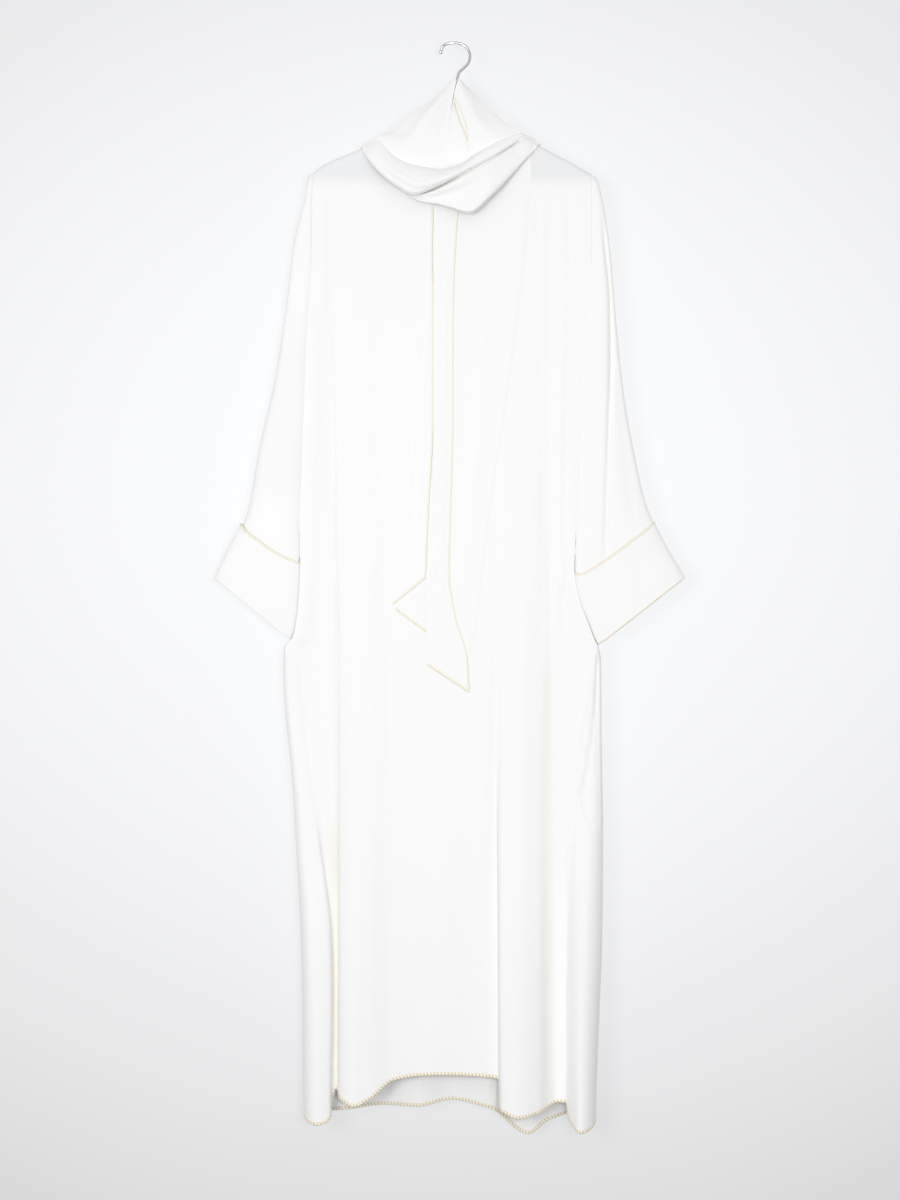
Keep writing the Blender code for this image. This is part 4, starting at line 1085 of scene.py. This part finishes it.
def fibre_grain():
    """Node group: the crepe's pebbled grain, its fine yarns and slow tone changes."""
    if "fibre_grain" in bpy.data.node_groups:
        return bpy.data.node_groups["fibre_grain"]
    group = bpy.data.node_groups.new("fibre_grain", "ShaderNodeTree")
    for name, side in (("Grain size", "INPUT"), ("Height", "OUTPUT"), ("Mottle", "OUTPUT")):
        group.interface.new_socket(name=name, in_out=side, socket_type="NodeSocketFloat")
    group.interface.items_tree["Grain size"].default_value = 0.0007
    nodes, links = group.nodes, group.links
    given, result = nodes.new("NodeGroupInput"), nodes.new("NodeGroupOutput")
    per_metre = calculated(nodes, links, "DIVIDE", 1.0, given.outputs["Grain size"])
    stretch = nodes.new("ShaderNodeMapping")
    stretch.inputs["Scale"].default_value = (1.0, 1.0, 0.22)
    links.new(object_place(nodes), stretch.inputs["Vector"])
    pebble = noise_on(nodes, links, per_metre)
    yarn = noise_on(nodes, links, 900.0, 1.0, stretch.outputs[0])
    links.new(calculated(nodes, links, "ADD", pebble, yarn), result.inputs["Height"])
    links.new(noise_on(nodes, links, 9.0, 3.0), result.inputs["Mottle"])
    return group


def grained(nodes, links, shader, size, strength, depth):
    """Bumps a material with the grain, and gives the grain's slow tone changes."""
    grain = nodes.new("ShaderNodeGroup")
    grain.node_tree = fibre_grain()
    grain.inputs["Grain size"].default_value = size
    bumped(nodes, links, shader, grain.outputs["Height"], strength, depth)
    return grain.outputs["Mottle"]


def new_material(name, roughness, metallic=0.0):
    material = bpy.data.materials.new(name)
    material.use_nodes = True
    shader = material.node_tree.nodes["Principled BSDF"]
    shader.inputs["Roughness"].default_value = roughness
    shader.inputs["Metallic"].default_value = metallic
    return material, material.node_tree.nodes, material.node_tree.links, shader


def crepe():
    """White polyester crepe: matt, faintly pebbled, with painted ivory shade in deep folds and painted bluish
    shade where the wall's shade comes through.
    """
    if "abaya_crepe" in bpy.data.materials:
        return bpy.data.materials["abaya_crepe"]
    settings = bpy.context.scene.abaya_cloth
    material, nodes, links, shader = new_material("abaya_crepe", 0.82)
    shader.inputs["Sheen Weight"].default_value = 0.18
    shader.inputs["Sheen Roughness"].default_value = 0.5
    shader.inputs["Specular IOR Level"].default_value = 0.25
    mottle = grained(nodes, links, shader, settings.grain, 0.35, 0.00012)
    colour = mixed(nodes, links, calculated(nodes, links, "MULTIPLY", mottle, 0.5),
                   settings.crepe_colour, [0.985 * c for c in settings.crepe_colour])
    # Painted shade: one attribute mixes in the bluish shade, the other the ivory shade of deep folds
    for tone, other in (("painted_bluish_shade", settings.painted_bluish_shade_colour), ("warm", settings.painted_fold_shade_colour)):
        colour = mixed(nodes, links, attribute(nodes, tone), colour, other)
    links.new(colour, shader.inputs["Base Color"])
    return material


def thread():
    """Pale gold serging thread: light on the stitches, with painted shade that makes it tan in the grooves
    between them and on its two sides.
    """
    if "serging_thread" in bpy.data.materials:
        return bpy.data.materials["serging_thread"]
    settings = bpy.context.scene.abaya_cloth
    material, nodes, links, shader = new_material("serging_thread", 0.5)
    shader.inputs["Sheen Weight"].default_value = 0.2
    grained(nodes, links, shader, 0.0004, 0.5, 0.0001)
    tone = mixed(nodes, links, attribute(nodes, "stitch"), settings.groove_shade_colour, settings.thread_colour)
    spots = calculated(nodes, links, "MULTIPLY", noise_on(nodes, links, 160.0), 0.25)
    links.new(mixed(nodes, links, spots, tone, (0.93, 0.90, 0.82)), shader.inputs["Base Color"])
    return material


def chrome():
    """Plated steel wire, with fine drawing marks and a painted dark reflection at its rims."""
    material, nodes, links, shader = new_material("hook_chrome", 0.16, 1.0)
    marks = noise_on(nodes, links, 500.0)
    rim = nodes.new("ShaderNodeLayerWeight")
    rim.inputs["Blend"].default_value = 0.5
    face = mixed(nodes, links, marks, (0.80, 0.80, 0.84), (0.95, 0.95, 0.97))
    # Painted reflection: the base colour turns near black towards the rims, where the wire faces away
    painted_dark_rim = mixed(nodes, links, rim.outputs["Facing"], face, (0.02, 0.02, 0.03))
    links.new(painted_dark_rim, shader.inputs["Base Color"])
    rough = nodes.new("ShaderNodeMapRange")
    rough.inputs["To Min"].default_value = 0.10
    rough.inputs["To Max"].default_value = 0.26
    links.new(marks, rough.inputs["Value"])
    links.new(rough.outputs[0], shader.inputs["Roughness"])
    return material


def hanger_plastic():
    """The hanger's arms: off-white satin plastic."""
    material, nodes, links, shader = new_material("hanger_plastic", 0.42)
    cloud = noise_on(nodes, links, 60.0)
    links.new(mixed(nodes, links, cloud, (0.80, 0.79, 0.76), (0.86, 0.85, 0.83)), shader.inputs["Base Color"])
    bumped(nodes, links, shader, cloud, 0.1, 0.0001)
    return material


def plaster(colour, glow):
    """Floor and wall: pale plaster with a painted pool of light, glowing of itself round the middle and dark
    towards its far edges, and clear from behind.
    """
    material, nodes, links, shader = new_material("plaster", 0.95)
    spread, square = nodes.new("ShaderNodeMapping"), nodes.new("ShaderNodeVectorMath")
    spread.inputs["Location"].default_value = (0.0, 0.0, 0.32)
    spread.inputs["Scale"].default_value = (0.41, 0.0, 0.50)
    square.operation = "DOT_PRODUCT"
    links.new(object_place(nodes), spread.inputs["Vector"])
    links.new(spread.outputs[0], square.inputs[0])
    links.new(spread.outputs[0], square.inputs[1])
    # Painted light: the emission colour is bright round the middle and fades to near black further out
    lit = mixed(nodes, links, square.outputs["Value"], (0.99, 1.0, 1.02), (0.05, 0.03, 0.02))
    links.new(lit, shader.inputs["Emission Color"])
    shader.inputs["Emission Strength"].default_value = glow
    cloud = mixed(nodes, links, noise_on(nodes, links, 1.6), colour, [0.97 * c for c in colour])
    links.new(cloud, shader.inputs["Base Color"])
    behind, clear = nodes.new("ShaderNodeNewGeometry"), nodes.new("ShaderNodeBsdfTransparent")
    choose = nodes.new("ShaderNodeMixShader")
    links.new(behind.outputs["Backfacing"], choose.inputs[0])
    links.new(shader.outputs[0], choose.inputs[1])
    links.new(clear.outputs[0], choose.inputs[2])
    links.new(choose.outputs[0], nodes["Material Output"].inputs["Surface"])
    return material


class AbayaCloth(bpy.types.PropertyGroup):
    thickness: bpy.props.FloatProperty(
        name="Cloth thickness", description="Thickness of the crepe", default=0.0006,
        unit="LENGTH", subtype="DISTANCE")
    grain: bpy.props.FloatProperty(
        name="Grain size", description="Size of the crepe's pebbles", default=0.0008,
        unit="LENGTH", subtype="DISTANCE")
    crepe_colour: bpy.props.FloatVectorProperty(
        name="Crepe", description="Colour of the crepe", default=(0.90, 0.902, 0.902),
        size=3, subtype="COLOR")
    # Painted shade: the bluish colour that stands in for the wall's shade coming through
    painted_bluish_shade_colour: bpy.props.FloatVectorProperty(
        name="Single layer", description="Colour where the wall's shade comes through",
        default=(0.80, 0.81, 0.82), size=3, subtype="COLOR")
    # Painted shade: the ivory that stands in for shade at the bottom of deep folds
    painted_fold_shade_colour: bpy.props.FloatVectorProperty(
        name="Deep folds", description="Colour at the bottom of deep folds",
        default=(0.86, 0.845, 0.77), size=3, subtype="COLOR")
    hem_width: bpy.props.FloatProperty(
        name="Hem stitches", description="Width of the serging on the hems", default=0.0052,
        unit="LENGTH", subtype="DISTANCE")
    edge_width: bpy.props.FloatProperty(
        name="Edge stitches", description="Width of the serging on the cuffs and the scarf",
        default=0.0036, unit="LENGTH", subtype="DISTANCE")
    stitch_pitch: bpy.props.FloatProperty(
        name="Stitch pitch", description="Distance from stitch to stitch", default=0.0042,
        unit="LENGTH", subtype="DISTANCE")
    thread_colour: bpy.props.FloatVectorProperty(
        name="Thread", description="Colour of the serging thread", default=(0.96, 0.94, 0.86),
        size=3, subtype="COLOR")
    # Painted shade between the stitches
    groove_shade_colour: bpy.props.FloatVectorProperty(
        name="Thread in shade", description="Colour between the stitches", default=(0.58, 0.46, 0.22),
        size=3, subtype="COLOR")


class AbayaHanger(bpy.types.PropertyGroup):
    wire: bpy.props.FloatProperty(
        name="Wire radius", description="Radius of the hook's wire", default=0.0019,
        unit="LENGTH", subtype="DISTANCE")
    bar: bpy.props.FloatProperty(
        name="Arm radius", description="Radius of the hanger's arms", default=0.005,
        unit="LENGTH", subtype="DISTANCE")


class AbayaStage(bpy.types.PropertyGroup):
    key: bpy.props.FloatProperty(
        name="Key light", description="Power of the large soft light from the left",
        default=29.5, unit="POWER")
    fill: bpy.props.FloatProperty(
        name="Fill light", description="Power of the light beside the camera", default=24.5, unit="POWER")
    surround: bpy.props.FloatProperty(
        name="Surround", description="Strength of the white surroundings", default=0.60)
    wall_colour: bpy.props.FloatVectorProperty(
        name="Wall", description="Colour of the floor and wall", default=(0.22, 0.22, 0.222),
        size=3, subtype="COLOR")
    wall_glow: bpy.props.FloatProperty(
        name="Wall glow", description="Brightness of the wall's own light at the middle", default=0.735)


class ABAYA_OT_body(bpy.types.Operator):
    """Front and back panels with their serged hems"""

    bl_idname = "abaya.body"
    bl_label = "Body panels"

    def execute(self, context):
        columns, rows = 150, 250
        width = context.scene.abaya_cloth.hem_width / MM
        for panel in FOLDS:
            surface = body_surface(panel, columns, rows)
            shell = cloth_shell(panel + "_panel", columns, rows, surface, node="body_" + panel)
            fine = body_surface(panel, FINE, rows)
            sewn = [serged_edge(
                panel + "_hem", fine, lambda t: (round(FINE * t), 0), (0, 1), width, HEM_PITCH)]
            if panel == "front":
                sewn.append(serged_edge(
                    "left_seam_edge", fine, lambda t: (4, 134 + 17 * t), (1, 0), SEAM_THREAD))
        return {"FINISHED"}


class ABAYA_OT_sleeves(bpy.types.Operator):
    """Both sleeves with their turned-up, serged cuffs"""

    bl_idname = "abaya.sleeves"
    bl_label = "Sleeves and cuffs"

    def execute(self, context):
        width = context.scene.abaya_cloth.edge_width / MM
        columns, rows, cuff_rows = 96, 180, 44
        for side in SLEEVES:
            sleeve = cloth_shell(
                side + "_sleeve", columns, rows, sleeve_surface(side, columns, rows), node="sleeve_" + side)
            cuff = cloth_shell(
                side + "_cuff", columns, cuff_rows, cuff_surface(side, columns, cuff_rows),
                closed=True, node="cuff_" + side)
            fine = cuff_surface(side, FINE, cuff_rows)
            sewn = [serged_edge(
                side + "_cuff_edge", fine, lambda t: (round((FINE - 2) * t), cuff_rows), (0, -1), width)]
            if side == "right":
                sewn.append(serged_edge(
                    "right_cuff_end_edge", fine, lambda t: (20 + 160 * t, 3), (0, 1), CUFF_END_THREAD))
        return {"FINISHED"}


class ABAYA_OT_scarf_rise(bpy.types.Operator):
    """The part of the scarf that is drawn up to the hook"""

    bl_idname = "abaya.scarf_rise"
    bl_label = "Drawn-up scarf"

    def execute(self, context):
        width = context.scene.abaya_cloth.edge_width / MM
        columns, rows = 90, 60
        for name, flat in (
            ("scarf_rise_left", (0.07, 0.13)), ("scarf_rise_right", (0.06, 0.12)),
            ("scarf_rise_under", (0.05, 0.09)), ("scarf_rise_back", (0.11, 0.075)),
        ):
            surface = stretch_surface(name, columns, rows)
            piece = cloth_shell(name + "_cloth", columns, rows, surface, node=name)
            if name == "scarf_rise_right":
                fine = stretch_surface(name, FINE, rows)
                serged_edge(
                    "slit_edge", fine, lambda t: (90 + 178 * t, 0), (0, 1), SLIT_SHARE * width)
                serged_edge(
                    "slit_fold_edge", fine, lambda t: (70 + 198 * t, 6.5 * math.sin(math.pi * t ** 0.7)),
                    (0, 1), SLIT_FOLD_SHARE * width)
        return {"FINISHED"}


class ABAYA_OT_scarf_bands(bpy.types.Operator):
    """The bands wound round the neck"""

    bl_idname = "abaya.scarf_bands"
    bl_label = "Wound bands"

    def execute(self, context):
        columns, rows = 150, 48
        for name, flat in (("scarf_band_upper", (0.30, 0.04)), ("scarf_band_back", (0.30, 0.05))):
            surface = stretch_surface(name, columns, rows)
            piece = cloth_shell(name + "_cloth", columns, rows, surface, node=name)
        turn = cloth_shell("scarf_last_turn", columns, rows, last_turn_surface(columns, rows))
        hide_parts("scarf_band_lower", "scarf_band_end")
        return {"FINISHED"}


class ABAYA_OT_scarf_ends(bpy.types.Operator):
    """The hanging ends of the scarf with their serged edges"""

    bl_idname = "abaya.scarf_ends"
    bl_label = "Scarf ends"

    def execute(self, context):
        width = context.scene.abaya_cloth.edge_width / MM
        for name, flat, columns, node in (
            ("scarf_end_left", (0.03, 0.58), 22, "scarf_end_left"),
            ("scarf_end_left_fold", (0.045, 0.10), 22, None),
            ("scarf_end_right_under", (0.11, 0.68), 44, "scarf_end_right_under"),
            ("scarf_end_right_over", (0.035, 0.68), 24, "scarf_end_right_over"),
        ):
            rows = 220 if node else 40
            piece = cloth_shell(name + "_cloth", columns, rows, end_surface(name, columns, rows), node=node)
            if name in ("scarf_end_left", "scarf_end_right_over"):
                serged_edge(
                    name + "_side", end_surface(name, columns, FINE),
                    lambda t: (columns, round(FINE * t)), (-1, 0), END_SIDE_SHARE * width)
            if name != "scarf_end_right_under":
                serged_edge(
                    name + "_low", end_surface(name, FINE, rows),
                    lambda t: (round(FINE * t), 0), (0, 1), width)
        return {"FINISHED"}


class ABAYA_OT_hanger(bpy.types.Operator):
    """The wire hook and the arms under the shoulders"""

    bl_idname = "abaya.hanger"
    bl_label = "Hanger"

    def execute(self, context):
        settings = context.scene.abaya_hanger
        across, down = (Track(enumerate(column)) for column in zip(*HOOK_ARC))
        steps, last = 150, len(HOOK_ARC) - 1
        route = [(across(last * k / steps), down(last * k / steps), 1.0) for k in range(steps + 1)]
        tip = [(*route[0][:2], share) for share in (0.0, 0.6, 1.0)]
        for k, share in HOOK_TIP:
            route[k] = (*route[k][:2], share)
        hook = round_bar("hook", tip + route, settings.wire / MM, chrome())
        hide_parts("hanger_hook")
        low, high = HANGER_ENDS
        arms = []
        for k in range(61):
            x = low + (high - low) * k / 60
            slope = (shoulder_line(x + 1) - shoulder_line(x - 1)) / 2
            sink = BAR_SINK / math.hypot(1, slope)
            arms.append((x - slope * sink, shoulder_line(x) + sink, 1.0))
        start, end = ([(*arms[i][:2], share) for share in (0.0, 0.5, 0.85)] for i in (0, -1))
        bar = round_bar("hanger_arms", start + arms + end[::-1], settings.bar / MM, hanger_plastic())
        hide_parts("hanger_bar")
        return {"FINISHED"}


class ABAYA_OT_stage(bpy.types.Operator):
    """Pale floor and wall, soft lights and the camera"""

    bl_idname = "abaya.stage"
    bl_label = "Floor, lights and camera"

    def execute(self, context):
        settings, scene = context.scene.abaya_stage, context.scene
        bm = bmesh.new()
        rows, bend_end = FLOOR_ROWS + BEND_ROWS + WALL_ROWS, FLOOR_ROWS + BEND_ROWS
        bmesh.ops.create_grid(bm, x_segments=1, y_segments=rows, size=0.5)
        for vert in bm.verts:
            k = round((vert.co.y + 0.5) * rows)
            x = 2 * REACH * vert.co.x
            if k <= FLOOR_ROWS:
                vert.co = (x, WALL - BEND - REACH * (FLOOR_ROWS - k) / FLOOR_ROWS, FLOOR)
            elif k <= bend_end:
                turn = math.pi / 2 * (k - FLOOR_ROWS) / BEND_ROWS
                vert.co = (x, WALL - BEND + BEND * math.sin(turn), FLOOR + BEND * (1 - math.cos(turn)))
            else:
                vert.co = (x, WALL, FLOOR + BEND + REACH * (k - bend_end) / WALL_ROWS)
        new_object("backdrop", bm, plaster(tuple(settings.wall_colour), settings.wall_glow))

        for name, spot, size, power in (
            ("key", KEY_PLACE, KEY_SIZE, settings.key), ("fill", FILL_PLACE, FILL_SIZE, settings.fill),
        ):
            lamp = bpy.data.lights.new(name, "AREA")
            lamp.shape, lamp.size, lamp.energy = "SQUARE", size, power
            light = bpy.data.objects.new(name, lamp)
            light.location = spot
            light.rotation_euler = (Vector(AIM) - Vector(spot)).to_track_quat("-Z", "Y").to_euler()
            scene.collection.objects.link(light)
        world = bpy.data.worlds.new("studio")
        world.use_nodes = True
        surround = world.node_tree.nodes["Background"]
        surround.inputs["Color"].default_value = (1.0, 1.0, 1.0, 1.0)
        surround.inputs["Strength"].default_value = settings.surround
        scene.world = world
        scene.view_settings.view_transform = "Standard"

        lens = bpy.data.cameras.new("camera")
        lens.sensor_width, lens.lens = SENSOR, FOCAL
        camera = bpy.data.objects.new("camera", lens)
        camera.location = CAMERA_PLACE
        camera.rotation_euler = (math.pi / 2, 0.0, 0.0)
        scene.collection.objects.link(camera)
        scene.camera = camera
        return {"FINISHED"}


class ABAYA_PT_panel(bpy.types.Panel):
    """Sizes and colours of the abaya, and its building steps"""

    bl_idname = "ABAYA_PT_panel"
    bl_label = "Abaya"
    bl_space_type = "VIEW_3D"
    bl_region_type = "UI"
    bl_category = "Abaya"

    def draw(self, context):
        for group in (getattr(context.scene, name) for name in GROUPS):
            box = self.layout.box()
            for name in group.__annotations__:
                box.prop(group, name)
        for operator in STEPS:
            self.layout.operator(operator.bl_idname)


GROUPS = {"abaya_cloth": AbayaCloth, "abaya_hanger": AbayaHanger, "abaya_stage": AbayaStage}
STEPS = (ABAYA_OT_hanger, ABAYA_OT_body, ABAYA_OT_sleeves, ABAYA_OT_scarf_rise, ABAYA_OT_scarf_bands,
         ABAYA_OT_scarf_ends, ABAYA_OT_stage)


def register():
    for item in (*GROUPS.values(), *STEPS, ABAYA_PT_panel):
        bpy.utils.register_class(item)
    for name, group in GROUPS.items():
        setattr(bpy.types.Scene, name, bpy.props.PointerProperty(type=group))


def unregister():
    for name in GROUPS:
        delattr(bpy.types.Scene, name)
    for item in reversed((*GROUPS.values(), *STEPS, ABAYA_PT_panel)):
        bpy.utils.unregister_class(item)


def main():
    register()
    bpy.ops.abaya.hanger()
    bpy.ops.abaya.body()
    bpy.ops.abaya.sleeves()
    bpy.ops.abaya.scarf_rise()
    bpy.ops.abaya.scarf_bands()
    bpy.ops.abaya.scarf_ends()
    bpy.ops.abaya.stage()


if __name__ == "__main__":
    main()
